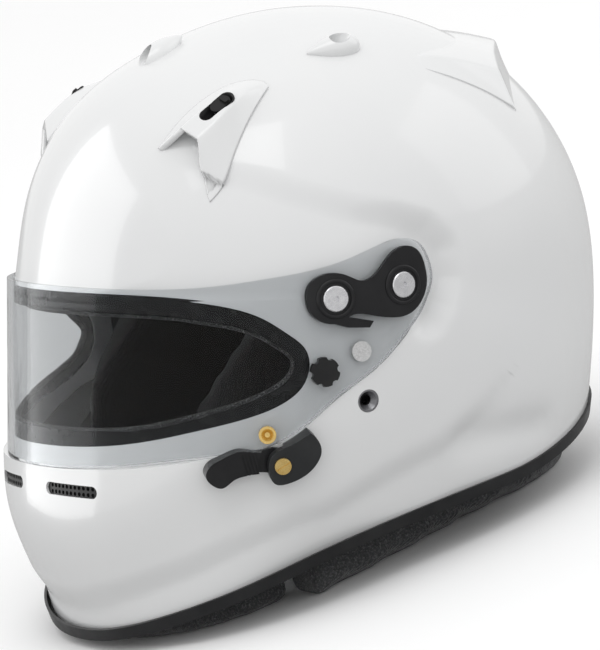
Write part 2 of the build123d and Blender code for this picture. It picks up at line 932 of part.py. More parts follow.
# Latch on the left side, with outlines about its screw in shares of the lever's length
latch_seat = skin_plane(-latch_forward, -latch_drop, (0, 0.94, 0.34))
cover_shares = [
    (0.08, 0.3),
    (0.22, 0.44),
    (0.46, 0.31),
    (0.53, 0.01),
    (0.45, -0.1),
    (0.03, -0.25),
    (-0.16, -0.2),
    (-0.19, -0.02),
    (-0.09, 0.17),
]
lever_shares = [
    (0.1, 0.12),
    (-0.03, 0.22),
    (-0.24, 0.25),
    (-0.46, 0.34),
    (-0.72, 0.32),
    (-0.9, 0.27),
    (-0.98, 0.16),
    (-0.94, 0.04),
    (-0.82, -0.05),
    (-0.66, 0.0),
    (-0.44, 0.0),
    (-0.17, -0.08),
    (0.0, -0.17),
    (0.13, -0.08),
]
latch_skin = body_block(half_width + lever_lift, -lever_lift)
with BuildPart() as latch_lever:
    with BuildSketch(latch_seat.offset(-lever_sink)):
        with BuildLine():
            Spline(*scaled(lever_shares, lever_length), periodic=True)
        make_face()
        Circle(latch_screw_radius + running_clearance, mode=Mode.SUBTRACT)
    extrude(amount=lever_sink + lever_height)
    with BuildSketch(latch_seat.offset(lever_hub_height)):
        Circle(lever_length * 0.31)
    extrude(amount=overrun, mode=Mode.SUBTRACT)
    with BuildSketch(latch_seat.offset(lever_height)):
        with Locations((-0.37 * lever_length, 0.14 * lever_length)):
            with GridLocations(rib_pitch, rib_pitch, rib_count, 1):
                Rectangle(rib_pitch / 2, 0.3 * lever_length)
    extrude(amount=-rib_pitch / 2, mode=Mode.SUBTRACT)
    add(latch_skin, mode=Mode.SUBTRACT)
latch_lever.part.label = "latch_lever"
export_step(latch_lever.part, "parts/latch_lever.step")
with BuildPart() as latch_cover:
    with BuildSketch(latch_seat.offset(lever_hub_height + joint_gap)):
        with BuildLine():
            Spline(*scaled(cover_shares, lever_length), periodic=True)
        make_face()
        Circle(latch_screw_radius, mode=Mode.SUBTRACT)
    extrude(amount=cover_height - lever_hub_height - joint_gap)
    with BuildSketch(latch_seat.offset(-lever_sink)):
        with BuildLine():
            Spline(*scaled(cover_shares, lever_length), periodic=True)
        make_face()
        Circle(0.19 * lever_length + 2 * joint_gap, mode=Mode.SUBTRACT)
        with Locations((-0.4 * lever_length, 0)):
            Rectangle(lever_length, lever_length, mode=Mode.SUBTRACT)
    extrude(amount=lever_sink + lever_hub_height + joint_gap)
    add(outer_block, mode=Mode.SUBTRACT)
    add(visor_room, mode=Mode.SUBTRACT)
latch_cover.part.label = "latch_cover"
export_step(latch_cover.part, "parts/latch_cover.step")
with BuildPart() as latch_screw:
    with BuildSketch(latch_seat.offset(cover_height)):
        Circle(latch_head_radius)
    extrude(amount=screw_head_height)
    with BuildSketch(latch_seat.offset(cover_height)):
        Circle(latch_screw_radius)
    extrude(amount=-cover_height)
    with BuildSketch(latch_seat.offset(cover_height + screw_head_height)):
        Rectangle(2 * latch_head_radius, screw_head_height / 2, rotation=15)
    extrude(amount=-screw_head_height / 2, mode=Mode.SUBTRACT)
latch_screw.part.label = "latch_screw"
export_step(latch_screw.part, "parts/latch_screw.step")

# Chin vent grilles
grille_skin = body_block(half_width - grille_sink, grille_sink)
grille_core = body_block(half_width - grille_sink - grille_wall, grille_sink + grille_wall)
with BuildPart() as chin_vent_grille_left:
    with BuildSketch(front_plane):
        with Locations(vent_middle):
            SlotOverall(vent_length, vent_width)
            with GridLocations(vent_width / 2, vent_width / 2, grille_columns, grille_rows):
                Circle(vent_width / 6, mode=Mode.SUBTRACT)
    extrude(amount=overrun, both=True)
    add(grille_skin, mode=Mode.INTERSECT)
    add(grille_core, mode=Mode.SUBTRACT)
chin_vent_grille_left.part.label = "chin_vent_grille_left"
export_step(chin_vent_grille_left.part, "parts/chin_vent_grille_left.step")
chin_vent_grille_right = mirror(chin_vent_grille_left.part, about=Plane.YZ)
chin_vent_grille_right.label = "chin_vent_grille_right"
export_step(chin_vent_grille_right, "parts/chin_vent_grille_right.step")

# Threaded inserts for a head restraint
with BuildPart() as restraint_insert_left:
    with BuildSketch(restraint_seats[0].offset(-insert_length)):
        Circle(insert_radius)
    extrude(amount=insert_length - insert_sink)
    with Locations(restraint_seats[0].offset(-insert_sink)):
        CounterSinkHole(insert_bore_radius, insert_mouth_radius)
restraint_insert_left.part.label = "restraint_insert_left"
export_step(restraint_insert_left.part, "parts/restraint_insert_left.step")
restraint_insert_right = mirror(restraint_insert_left.part, about=Plane.YZ)
restraint_insert_right.label = "restraint_insert_right"
export_step(restraint_insert_right, "parts/restraint_insert_right.step")

# Brow ducts, with outlines on the skin in shares of the duct's half length
duct_seat = skin_plane(-duct_forward, duct_rise, (0.035, 0.8, 0.6))
duct_foot_shares = [
    (-1.03, 0.15),
    (0.02, 0.29),
    (0.75, 0.17),
    (1.0, -0.13),
    (0.99, -0.33),
    (-0.83, -1.24),
    (-1.2, -1.23),
    (-0.63, -0.45),
]
duct_ridge_shares = [
    (-0.75, -0.1),
    (0.0, 0.07),
    (0.62, 0.0),
    (0.84, -0.2),
    (0.82, -0.33),
    (-0.45, -0.72),
    (-0.68, -0.7),
    (-0.66, -0.4),
]
with BuildPart() as brow_duct_left:
    for lift, shares in (
        (-duct_height, duct_foot_shares),
        (0, duct_foot_shares),
        (duct_height, duct_ridge_shares),
    ):
        with BuildSketch(duct_seat.offset(lift)):
            with BuildLine():
                Polyline(*scaled(shares, duct_half_length), close=True)
            make_face()
    loft(ruled=True)
    add(outer_block, mode=Mode.SUBTRACT)
    add(swing_room.part, mode=Mode.SUBTRACT)
    with BuildSketch(duct_seat.offset(duct_height)):
        with Locations((0, -0.25 * duct_half_length)):
            SlotOverall(slider_length + slider_travel + slider_gap, slider_width + slider_gap)
    extrude(amount=-slider_depth, mode=Mode.SUBTRACT)
brow_duct_left.part.label = "brow_duct_left"
export_step(brow_duct_left.part, "parts/brow_duct_left.step")
brow_duct_right = mirror(brow_duct_left.part, about=Plane.YZ)
brow_duct_right.label = "brow_duct_right"
export_step(brow_duct_right, "parts/brow_duct_right.step")
with BuildPart() as brow_slider_left:
    with BuildSketch(duct_seat.offset(duct_height - slider_depth + slider_gap / 2)):
        with Locations((slider_travel / 2, -0.25 * duct_half_length)):
            SlotOverall(slider_length, slider_width)
    extrude(amount=slider_depth)
    with BuildSketch(duct_seat.offset(duct_height)):
        with Locations((slider_travel / 2 + slider_length / 4, -0.25 * duct_half_length)):
            RectangleRounded(slider_length / 4, slider_width * 0.8, slider_width / 8)
    extrude(amount=slider_knob_height)
brow_slider_left.part.label = "brow_slider_left"
export_step(brow_slider_left.part, "parts/brow_slider_left.step")
brow_slider_right = mirror(brow_slider_left.part, about=Plane.YZ)
brow_slider_right.label = "brow_slider_right"
export_step(brow_slider_right, "parts/brow_slider_right.step")

# Small hooded vents, turned about an axis that lies on the skin
hood_shares = [(-1.0, 0.0), (-0.6, 0.26), (-0.1, 0.46), (0.4, 0.5), (0.85, 0.34), (1.0, 0.0)]


def hooded_vent(seat, half_length, mouth_radius, mouth_turn):
    """A teardrop hood on the skin with a round mouth turned up from the seat by an angle."""
    with BuildPart() as hood:
        with BuildSketch(Plane(origin=seat.origin, x_dir=seat.x_dir, z_dir=-seat.y_dir)):
            with BuildLine():
                edge = Spline(*scaled(hood_shares, half_length))
                Line(edge @ 1, edge @ 0)
            make_face()
        revolve(axis=Axis(seat.origin, seat.x_dir), revolution_arc=360)
        add(outer_block, mode=Mode.SUBTRACT)
        axis_line = seat.x_dir * cos(mouth_turn) + seat.z_dir * sin(mouth_turn)
        mouth_start = seat.origin + seat.z_dir * mouth_radius * 0.6
        with BuildSketch(Plane(origin=mouth_start, x_dir=seat.y_dir, z_dir=axis_line)):
            Circle(mouth_radius)
        extrude(amount=overrun, mode=Mode.SUBTRACT)
    return hood.part


intake_seat = Plane(
    origin=place(0, *profile_point(-0.49, 0.835)),
    x_dir=turn(0, -0.79, -0.61),
    z_dir=turn(0, -0.61, 0.79),
)
with BuildPart() as centre_intake:
    add(hooded_vent(intake_seat, hood_half_length, hood_mouth_radius, radians(12)))
centre_intake.part.label = "centre_intake"
export_step(centre_intake.part, "parts/centre_intake.step")
exhaust_seat = skin_plane(-exhaust_forward, exhaust_rise, (0.15, 0.9, 0.2))
with BuildPart() as exhaust_left:
    add(hooded_vent(exhaust_seat, hood_half_length, hood_mouth_radius, radians(50)))
exhaust_left.part.label = "exhaust_left"
export_step(exhaust_left.part, "parts/exhaust_left.step")
exhaust_right = mirror(exhaust_left.part, about=Plane.YZ)
exhaust_right.label = "exhaust_right"
export_step(exhaust_right, "parts/exhaust_right.step")

# Rear spoiler, as outlines from above and from the front in shares of the half width
spoiler_plan_shares = [
    (0.67, 0.19),
    (0.48, 0.4),
    (0.22, 0.58),
    (0.0, 0.63),
    (-0.22, 0.58),
    (-0.48, 0.4),
    (-0.67, 0.19),
    (-0.72, 0.66),
    (-0.48, 0.72),
    (-0.2, 0.96),
    (0.0, 1.0),
    (0.2, 0.96),
    (0.48, 0.72),
    (0.72, 0.66),
]
spoiler_front_shares = [
    (0.73, 0.5),
    (0.7, 0.66),
    (0.49, 0.86),
    (0.2, 0.94),
    (-0.2, 0.94),
    (-0.49, 0.86),
    (-0.7, 0.66),
    (-0.73, 0.5),
]
back_plane = Plane(
    origin=place(0, 0, 0), x_dir=(1, 0, 0), z_dir=turn(0, -1, 0)
)
with BuildPart() as rear_spoiler:
    with BuildSketch(plan_plane):
        with BuildLine():
            Polyline(*scaled(spoiler_plan_shares, half_width), close=True)
        make_face()
    extrude(amount=crown_height + overrun)
    with BuildSketch(back_plane):
        with BuildLine():
            Polyline(*scaled(spoiler_front_shares, half_width), close=True)
        make_face()
    extrude(amount=-rear_reach, mode=Mode.INTERSECT)
    add(outer_block.moved(Location(turn(0, spoiler_set_back, spoiler_rise))), mode=Mode.INTERSECT)
    add(outer_block, mode=Mode.SUBTRACT)
rear_spoiler.part.label = "rear_spoiler"
export_step(rear_spoiler.part, "parts/rear_spoiler.step")

# Chin straps on the cheek pads' faces, and the rings that close them
strap_across = cheek_face_half_gap - soft_gap - strap_wall
strap_back = core_set_back + strap_set_back
ring_bar_height = neck_roll_height + strap_hang
with BuildPart() as chin_strap_left:
    with BuildSketch(Plane.YZ.offset(strap_across)):
        with Locations((strap_back, ring_bar_height + strap_length / 2)):
            Rectangle(strap_width, strap_length)
    extrude(amount=strap_wall)
chin_strap_left.part.label = "chin_strap_left"
export_step(chin_strap_left.part, "parts/chin_strap_left.step")
ring_bore = ring_wire_radius + running_clearance
loop_across = -(strap_across + strap_wall - ring_bore - strap_wall)
with BuildPart() as chin_strap_right:
    with BuildSketch(Plane.YZ.offset(-strap_across)):
        with Locations((strap_back, ring_bar_height + strap_length / 2)):
            Rectangle(strap_width, strap_length)
    extrude(amount=-strap_wall)
    with BuildSketch(Plane.XZ.offset(-strap_back + strap_width / 2)):
        with Locations((loop_across, ring_bar_height)):
            Circle(ring_bore + strap_wall)
    extrude(amount=-strap_width)
    with BuildSketch(Plane.XZ.offset(-strap_back + strap_width / 2)):
        with Locations((loop_across, ring_bar_height)):
            Circle(ring_bore)
    extrude(amount=-strap_width, mode=Mode.SUBTRACT)
chin_strap_right.part.label = "chin_strap_right"
export_step(chin_strap_right.part, "parts/chin_strap_right.step")
bar_end = strap_width / 2 + 3 * ring_wire_radius
ring_plane = Plane(
    origin=(loop_across, strap_back, ring_bar_height), x_dir=(0, 1, 0), z_dir=(1, 0, 0)
)
with BuildPart() as strap_ring:
    with BuildLine(ring_plane) as ring_path:
        FilletPolyline(
            (bar_end, 0),
            (bar_end, -ring_drop),
            (-bar_end, -ring_drop),
            (-bar_end, 0),
            radius=2 * ring_wire_radius,
            close=True,
        )
    with BuildSketch(Plane(origin=ring_path.line @ 0, z_dir=ring_path.line % 0)):
        Circle(ring_wire_radius)
    sweep()
strap_ring.part.label = "strap_ring"
export_step(strap_ring.part, "parts/strap_ring.step")
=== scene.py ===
import json
import math

import bpy
import bmesh
import numpy as np
from mathutils import Matrix, Vector


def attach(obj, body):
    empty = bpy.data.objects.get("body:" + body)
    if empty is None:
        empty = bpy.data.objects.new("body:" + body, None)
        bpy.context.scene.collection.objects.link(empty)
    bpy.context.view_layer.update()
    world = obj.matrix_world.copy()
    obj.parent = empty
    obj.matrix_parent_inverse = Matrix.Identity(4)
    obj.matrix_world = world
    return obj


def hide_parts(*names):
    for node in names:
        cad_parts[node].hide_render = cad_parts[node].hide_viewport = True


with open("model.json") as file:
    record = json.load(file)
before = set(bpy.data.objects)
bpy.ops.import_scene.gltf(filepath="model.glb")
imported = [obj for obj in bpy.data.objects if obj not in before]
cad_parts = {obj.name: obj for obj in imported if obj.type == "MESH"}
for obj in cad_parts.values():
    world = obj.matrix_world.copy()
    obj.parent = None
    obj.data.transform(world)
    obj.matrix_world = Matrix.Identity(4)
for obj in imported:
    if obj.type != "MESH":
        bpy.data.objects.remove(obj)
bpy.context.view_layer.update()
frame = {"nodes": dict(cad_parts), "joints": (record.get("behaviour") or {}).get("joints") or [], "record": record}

MM = 0.001

# frame of the worn helmet: across, back and up about its core, in mm
LEAN = math.radians(18.6)
CORE = (0.0, 3.2, 137.0)
HALF_WIDTH, FRONT, REAR, CROWN, LOWER = 127.0, 132.5, 163.5, 131.5, 218.0
VISOR_HALF, VISOR_REACH, VISOR_WALL, VISOR_GAP = 127.5, 133.8, 3.0, 0.4
HINGE = (0.0, -3.2, 0.5)
SINL, COSL = math.sin(LEAN), math.cos(LEAN)


def turn(p):
    """Directions of the upright frame, in the row frame."""
    p = np.asarray(p, float)
    a, b, u = p[..., 0], p[..., 1], p[..., 2]
    return np.stack([a, b * COSL + u * SINL, -b * SINL + u * COSL], -1)


def place(p):
    """Upright mm to the row frame in metres."""
    return (turn(p) + np.array(CORE)) * MM


def unplace(p):
    """Row frame in metres to upright mm."""
    q = np.asarray(p, float) / MM - np.array(CORE)
    return np.stack([q[..., 0], q[..., 1] * COSL - q[..., 2] * SINL,
                     q[..., 1] * SINL + q[..., 2] * COSL], -1)


# side outline: shares of the reach back and up, and how boxy the helmet is across there
PROFILE = [
    (-0.113, -1.0, 2.2), (-0.732, -0.931, 2.2), (-0.894, -0.732, 2.2), (-1.015, -0.555, 2.2),
    (-1.03, -0.422, 2.2), (-1.042, -0.236, 2.15), (-1.0, -0.041, 2.05), (-0.936, 0.316, 2.05),
    (-0.758, 0.643, 2.05), (-0.4, 0.878, 2.1), (0.03, 1.0, 2.2), (0.404, 0.962, 2.25),
    (0.74, 0.722, 2.25), (0.942, 0.335, 2.25), (1.0, -0.053, 2.2), (0.972, -0.284, 2.3),
    (0.908, -0.53, 2.3), (0.587, -0.858, 2.2),
]
PROFILE = np.array([(b * (REAR if b > 0 else FRONT), u * (CROWN if u > 0 else LOWER), n)
                    for b, u, n in PROFILE])


def spline_places(p, bends, h, t_all, t):
    """Places on the cubic pieces between the points, from the second derivatives there."""
    i = np.clip(np.searchsorted(t_all, t, side="right") - 1, 0, len(h) - 1)
    j = (i + 1) % len(p)
    lo, hi, hh = (t - t_all[i])[:, None], (t_all[i + 1] - t)[:, None], h[i][:, None]
    return ((bends[i] * hi**3 + bends[j] * lo**3) / (6 * hh)
            + (p[i] / hh - bends[i] * hh / 6) * hi + (p[j] / hh - bends[j] * hh / 6) * lo)


def periodic(points, count):
    """A closed cubic spline with continuous curvature through the points, at even parameters."""
    p = np.asarray(points, float)
    m = len(p)
    h = np.linalg.norm(np.roll(p, -1, 0) - p, axis=1)
    t_all = np.concatenate([[0], np.cumsum(h)])
    a = np.zeros((m, m))
    rhs = np.zeros_like(p)
    for i in range(m):
        hm, hp = h[i - 1], h[i]
        a[i, (i - 1) % m] += hm
        a[i, i] += 2 * (hm + hp)
        a[i, (i + 1) % m] += hp
        rhs[i] = 6 * ((p[(i + 1) % m] - p[i]) / hp - (p[i] - p[i - 1]) / hm)
    t = np.linspace(0, t_all[-1], count, endpoint=False)
    return spline_places(p, np.linalg.solve(a, rhs), h, t_all, t)


def open_spline(points, count):
    """A natural cubic spline through the points."""
    p = np.asarray(points, float)
    m = len(p)
    h = np.linalg.norm(p[1:] - p[:-1], axis=1)
    t_all = np.concatenate([[0], np.cumsum(h)])
    a = np.eye(m)
    rhs = np.zeros_like(p)
    for i in range(1, m - 1):
        a[i, i - 1], a[i, i], a[i, i + 1] = h[i - 1], 2 * (h[i - 1] + h[i]), h[i]
        rhs[i] = 6 * ((p[i + 1] - p[i]) / h[i] - (p[i] - p[i - 1]) / h[i - 1])
    t = np.linspace(0, t_all[-1], count)
    return spline_places(p, np.linalg.solve(a, rhs), h, t_all, t)


# the outermost slices stop just short of a point
LAST_SLICE = math.radians(89.2)
# how many slices a grid has across the helmet, and how many places each slice has
OUTER_GRID, INNER_GRID = (240, 840), (120, 420)
ROUND_STEPS = 48


def body_grid(width, depth, slices, count):
    """Places of the skin, sunk by a depth, slice by slice across the helmet."""
    shares = np.sin(np.linspace(-1, 1, slices) * LAST_SLICE)
    reach = np.hypot(PROFILE[:, 0], PROFILE[:, 1])
    rows = []
    for s in shares:
        shrink = (1 - abs(s) ** PROFILE[:, 2]) ** (1 / PROFILE[:, 2]) * (reach - depth) / reach
        loop = periodic(PROFILE[:, :2] * shrink[:, None], count)
        rows.append(np.column_stack([np.full(count, s * width), loop]))
    return np.array(rows)


def grid_normals(g):
    """Directions out of a grid of loops, one at each of its places."""
    du = np.roll(g, -1, 1) - np.roll(g, 1, 1)
    dv = np.gradient(g, axis=0)
    n = np.cross(du, dv)
    n /= np.maximum(np.linalg.norm(n, axis=-1, keepdims=True), 1e-9)
    if np.sum(n * g) < 0:
        n = -n
    return n


LOOP = periodic(PROFILE[:, :2], 4000)
LOOP_ANGLE = np.arctan2(LOOP[:, 1], LOOP[:, 0])
ORDER = np.argsort(LOOP_ANGLE)
LOOP_ANGLE, LOOP_REACH = LOOP_ANGLE[ORDER], np.hypot(LOOP[:, 0], LOOP[:, 1])[ORDER]
KNOT_ANGLE = np.arctan2(PROFILE[:, 1], PROFILE[:, 0])
KNOT_ORDER = np.argsort(KNOT_ANGLE)
KNOT_ANGLE, KNOT_BOXY = KNOT_ANGLE[KNOT_ORDER], PROFILE[KNOT_ORDER, 2]


def share_out(back, up):
    """The share of the way to the side outline, and how boxy the helmet is there."""
    angle = np.arctan2(up, back)
    rho = np.hypot(back, up) / np.interp(angle, LOOP_ANGLE, LOOP_REACH, period=2 * math.pi)
    return rho, np.interp(angle, KNOT_ANGLE, KNOT_BOXY, period=2 * math.pi)


def level(p):
    """One on the skin, less inside it and more outside."""
    p = np.asarray(p, float)
    rho, n = share_out(p[..., 1], p[..., 2])
    return (np.abs(p[..., 0] / HALF_WIDTH) ** n + rho**n) ** (1 / n)


def skin_normal(p):
    """The direction out of the skin, from how the level changes over a small step."""
    p = np.asarray(p, float)
    step = 0.5
    g = np.stack([level(p + step * e) - level(p - step * e) for e in np.eye(3)], -1)
    return g / np.linalg.norm(g, axis=-1, keepdims=True)


SKIN_SEARCH = 40.0
SKIN_HALVINGS = 40


def to_skin(p, direction):
    """Places moved along a direction on to the skin, found by halving."""
    p, d = np.asarray(p, float), np.asarray(direction, float)
    low = np.full(p.shape[:-1], -SKIN_SEARCH)
    high = np.full(p.shape[:-1], SKIN_SEARCH)
    for _ in range(SKIN_HALVINGS):
        mid = (low + high) / 2
        out = level(p + mid[..., None] * d) > 1
        high = np.where(out, mid, high)
        low = np.where(out, low, mid)
    return p + low[..., None] * d


def skin_across(side):
    """How far from the middle the skin is at places of the side view, or -1 off it."""
    side = np.asarray(side, float)
    rho, n = share_out(side[:, 0], side[:, 1])
    return np.where(rho <= 1, HALF_WIDTH * (1 - np.minimum(rho, 1) ** n) ** (1 / n), -1.0)


def polyline_distance(points, line):
    """Distance from places of the side view to a line, and its sign, positive on its left."""
    pts = np.asarray(points, float)
    line = np.asarray(line, float)
    best = np.full(pts.shape[:-1], 1e9)
    sign = np.ones(pts.shape[:-1])
    for a, b in zip(line[:-1], line[1:]):
        d = b - a
        t = np.clip(((pts - a) @ d) / (d @ d), 0, 1)
        off = pts - (a + t[..., None] * d)
        dist = np.linalg.norm(off, axis=-1)
        cross = d[0] * (pts[..., 1] - a[1]) - d[1] * (pts[..., 0] - a[0])
        closer = dist < best
        best = np.where(closer, dist, best)
        sign = np.where(closer, np.sign(cross + 1e-9), sign)
    return best, sign


def new_object(name, verts, faces, smooth=True):
    mesh = bpy.data.meshes.new(name)
    mesh.from_pydata([tuple(v) for v in verts], [], faces)
    mesh.update()
    if smooth:
        mesh.polygons.foreach_set("use_smooth", [True] * len(mesh.polygons))
    obj = bpy.data.objects.new(name, mesh)
    bpy.context.scene.collection.objects.link(obj)
    return obj


def turn_outward(obj):
    """Turns the faces of a closed mesh to look outwards."""
    bm = bmesh.new()
    bm.from_mesh(obj.data)
    bmesh.ops.recalc_face_normals(bm, faces=bm.faces)
    bm.to_mesh(obj.data)
    bm.free()


def closed_grid(name, g, to_row=True):
    """A closed mesh from a grid of loops, its two ends capped."""
    rows, count, _ = g.shape
    verts = place(g).reshape(-1, 3) if to_row else g.reshape(-1, 3)
    idx = np.arange(rows * count).reshape(rows, count)
    a, b = idx[:-1], np.roll(idx, -1, 1)[:-1]
    c, d = np.roll(idx, -1, 1)[1:], idx[1:]
    quads = np.stack([a, b, c, d], -1).reshape(-1, 4).tolist()
    quads.append(list(map(int, idx[0][::-1])))
    quads.append(list(map(int, idx[-1])))
    obj = new_object(name, verts, quads)
    turn_outward(obj)
    return obj


def ring_faces(g):
    """The faces of a band that is closed both along its run and round its section."""
    n, m, _ = g.shape
    idx = np.arange(n * m).reshape(n, m)
    nxt = np.roll(idx, -1, 0)
    quads = np.stack([idx, np.roll(idx, -1, 1), np.roll(nxt, -1, 1), nxt], -1)
    return quads.reshape(-1, 4).tolist()


def prism(name, outline, across_low, across_high):
    """A prism across the helmet over a side-view outline."""
    count = len(outline)
    low = np.column_stack([np.full(count, across_low), outline])
    high = np.column_stack([np.full(count, across_high), outline])
    return closed_grid(name, np.array([low, high]))


def select_only(obj):
    bpy.context.view_layer.objects.active = obj
    for o in bpy.context.selected_objects:
        o.select_set(False)
    obj.select_set(True)


def apply_all(obj):
    """Makes an object's modifiers part of its mesh, in their order."""
    select_only(obj)
    for mod in list(obj.modifiers):
        bpy.ops.object.modifier_apply(modifier=mod.name)


def cut(obj, tool):
    """Takes a tool's room out of an object, and removes the tool."""
    mod = obj.modifiers.new("cut", "BOOLEAN")
    mod.object = tool
    mod.operation = "DIFFERENCE"
    mod.solver = "MANIFOLD"
    apply_all(obj)
    bpy.data.objects.remove(tool)


def shade_smooth(obj):
    obj.data.polygons.foreach_set("use_smooth", [True] * len(obj.data.polygons))


def outfit(obj, mat, body, node=None):
    """Gives a piece its material and the body it rides on, and hides the solid it stands for, if any."""
    obj.data.materials.clear()
    obj.data.materials.append(mat)
    if node:
        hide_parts(node)
    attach(obj, body)
    return obj


WELD = 0.00002


def solid_copy(node, name, flatten=False):
    """A copy of a solid's mesh with its doubled places joined."""
    obj = bpy.data.objects.new(name, frame["nodes"][node].data.copy())
    bpy.context.scene.collection.objects.link(obj)
    bm = bmesh.new()
    bm.from_mesh(obj.data)
    bmesh.ops.remove_doubles(bm, verts=bm.verts, dist=WELD)
    if flatten:
        bmesh.ops.dissolve_limit(bm, angle_limit=math.radians(1.0), verts=bm.verts,
                                 edges=bm.edges)
    bm.to_mesh(obj.data)
    bm.free()
    return obj


# materials
def material(name):
    mat = bpy.data.materials.new(name)
    mat.use_nodes = True
    nt = mat.node_tree
    bsdf = nt.nodes["Principled BSDF"]
    return mat, nt, bsdf


def link(nt, a, b):
    nt.links.new(a, b)


def noise(nt, scale, detail=4.0, rough=0.55):
    n = nt.nodes.new("ShaderNodeTexNoise")
    n.inputs["Scale"].default_value = scale
    n.inputs["Detail"].default_value = detail
    n.inputs["Roughness"].default_value = rough
    tc = nt.nodes.new("ShaderNodeTexCoord")
    link(nt, tc.outputs["Object"], n.inputs["Vector"])
    return n.outputs["Fac"]


def ramp(nt, fac, stops):
    r = nt.nodes.new("ShaderNodeValToRGB")
    while len(r.color_ramp.elements) > 1:
        r.color_ramp.elements.remove(r.color_ramp.elements[0])
    for i, (pos, col) in enumerate(stops):
        e = r.color_ramp.elements[0] if i == 0 else r.color_ramp.elements.new(pos)
        e.position = pos
        e.color = (*col, 1)
    link(nt, fac, r.inputs["Fac"])
    return r.outputs["Color"]


def bump(nt, bsdf, height, strength, distance):
    b = nt.nodes.new("ShaderNodeBump")
    b.inputs["Strength"].default_value = strength
    b.inputs["Distance"].default_value = distance
    link(nt, height, b.inputs["Height"])
    link(nt, b.outputs["Normal"], bsdf.inputs["Normal"])


# where noise starts and ends between its two shades or values
NOISE_LOW, NOISE_HIGH = 0.3, 0.7


def mottled(nt, scale, low, high):
    """A colour that wanders between two shades."""
    return ramp(nt, noise(nt, scale), [(NOISE_LOW, low), (NOISE_HIGH, high)])


def wandering(nt, scale, low, high):
    """A value that wanders between two limits."""
    source = noise(nt, scale)
    m = nt.nodes.new("ShaderNodeMapRange")
    m.inputs["From Min"].default_value = NOISE_LOW
    m.inputs["From Max"].default_value = NOISE_HIGH
    m.inputs["To Min"].default_value = low
    m.inputs["To Max"].default_value = high
    link(nt, source, m.inputs["Value"])
    return m.outputs["Result"]


def plain(name, low, high, rough, metallic=0.0, scale=60.0, bump_scale=400.0, bump_depth=0.00002,
          coat=0.0, shine=0.5):
    """Two close shades mottled over the surface, with a fine bump."""
    mat, nt, bsdf = material(name)
    link(nt, mottled(nt, scale, low, high), bsdf.inputs["Base Color"])
    bsdf.inputs["Metallic"].default_value = metallic
    bsdf.inputs["Specular IOR Level"].default_value = shine
    link(nt, wandering(nt, scale * 2.3, rough * 0.85, rough * 1.15), bsdf.inputs["Roughness"])
    if coat:
        bsdf.inputs["Coat Weight"].default_value = coat
        bsdf.inputs["Coat Roughness"].default_value = 0.03
    bump(nt, bsdf, noise(nt, bump_scale, 6.0), 0.5, bump_depth)
    return mat


def metal(name, low, high, rough):
    return plain(name, low, high, rough, metallic=1.0, scale=300.0, bump_scale=2500.0)


PAINT = plain("white_paint", (0.725, 0.73, 0.735), (0.75, 0.755, 0.755), 0.2, scale=9.0,
              bump_scale=160.0, bump_depth=0.000004, coat=0.5)
RUBBER = plain("black_rubber", (0.012, 0.012, 0.013), (0.02, 0.02, 0.021), 0.42, bump_scale=900.0,
               shine=0.2)
TRIM = plain("trim_rubber", (0.014, 0.014, 0.015), (0.024, 0.024, 0.025), 0.36, bump_scale=700.0,
             shine=0.2)
BLACK = plain("black_plastic", (0.012, 0.012, 0.013), (0.02, 0.02, 0.02), 0.38, bump_scale=1500.0,
              shine=0.2)
GREY = plain("grey_plastic", (0.016, 0.017, 0.018), (0.026, 0.027, 0.028), 0.36, bump_scale=1800.0,
             shine=0.25)
STEEL = metal("bright_metal", (0.62, 0.62, 0.64), (0.75, 0.75, 0.76), 0.26)
DARKMETAL = metal("dark_metal", (0.18, 0.18, 0.19), (0.25, 0.25, 0.26), 0.3)
BRASS = metal("brass_metal", (0.62, 0.42, 0.14), (0.75, 0.55, 0.22), 0.28)
FOAM = plain("black_foam", (0.012, 0.012, 0.012), (0.025, 0.025, 0.025), 0.9, bump_scale=500.0,
             bump_depth=0.0003)
GLOSS_BLACK = plain("gloss_black_plastic", (0.01, 0.01, 0.011), (0.016, 0.016, 0.017), 0.2,
                    bump_scale=1200.0, bump_depth=0.00001, shine=0.25)
GLOSS_RUBBER = plain("gloss_rubber", (0.006, 0.006, 0.006), (0.011, 0.011, 0.012), 0.26,
                     bump_scale=300.0, bump_depth=0.000004, shine=0.15)


def speckle(name, low, high, scale):
    """Dark cloth with pale fuzzy flecks, partly the nap's own pale fibres and partly a painted highlight where the
    nap catches light.
    """
    mat, nt, bsdf = material(name)
    link(nt, ramp(nt, noise(nt, scale, 8.0, 0.8), [(0.5, low), (0.6, high), (0.66, high)]),
         bsdf.inputs["Base Color"])
    bsdf.inputs["Roughness"].default_value = 1.0
    bsdf.inputs["Sheen Weight"].default_value = 0.1
    bump(nt, bsdf, noise(nt, scale * 0.7, 6.0, 0.8), 1.0, 0.0012)
    return mat


# dark cloth whose pale flecks are partly the fibres' own colour and partly painted highlight
NAP_WITH_PAINTED_SHEEN = speckle("nap_fabric_painted_sheen", (0.008, 0.008, 0.008), (0.3, 0.3, 0.3), 1500.0)


def glass(name, tint, rough, ior):
    """A clear material that lets light through and is slightly uneven."""
    mat, nt, bsdf = material(name)
    bsdf.inputs["Transmission Weight"].default_value = 1.0
    bsdf.inputs["IOR"].default_value = ior
    link(nt, mottled(nt, 14.0, tint, tuple(c * 0.985 for c in tint)), bsdf.inputs["Base Color"])
    link(nt, wandering(nt, 30.0, rough, rough * 1.3 + 0.004), bsdf.inputs["Roughness"])
    return mat


VISOR_MAT = glass("clear_shield", (0.85, 0.865, 0.875), 0.0, 1.15)
FROST = plain("frosted_clear", (0.5, 0.5, 0.5), (0.8, 0.8, 0.8), 0.5, scale=1500.0)
FROST.node_tree.nodes["Principled BSDF"].inputs["Transmission Weight"].default_value = 0.25


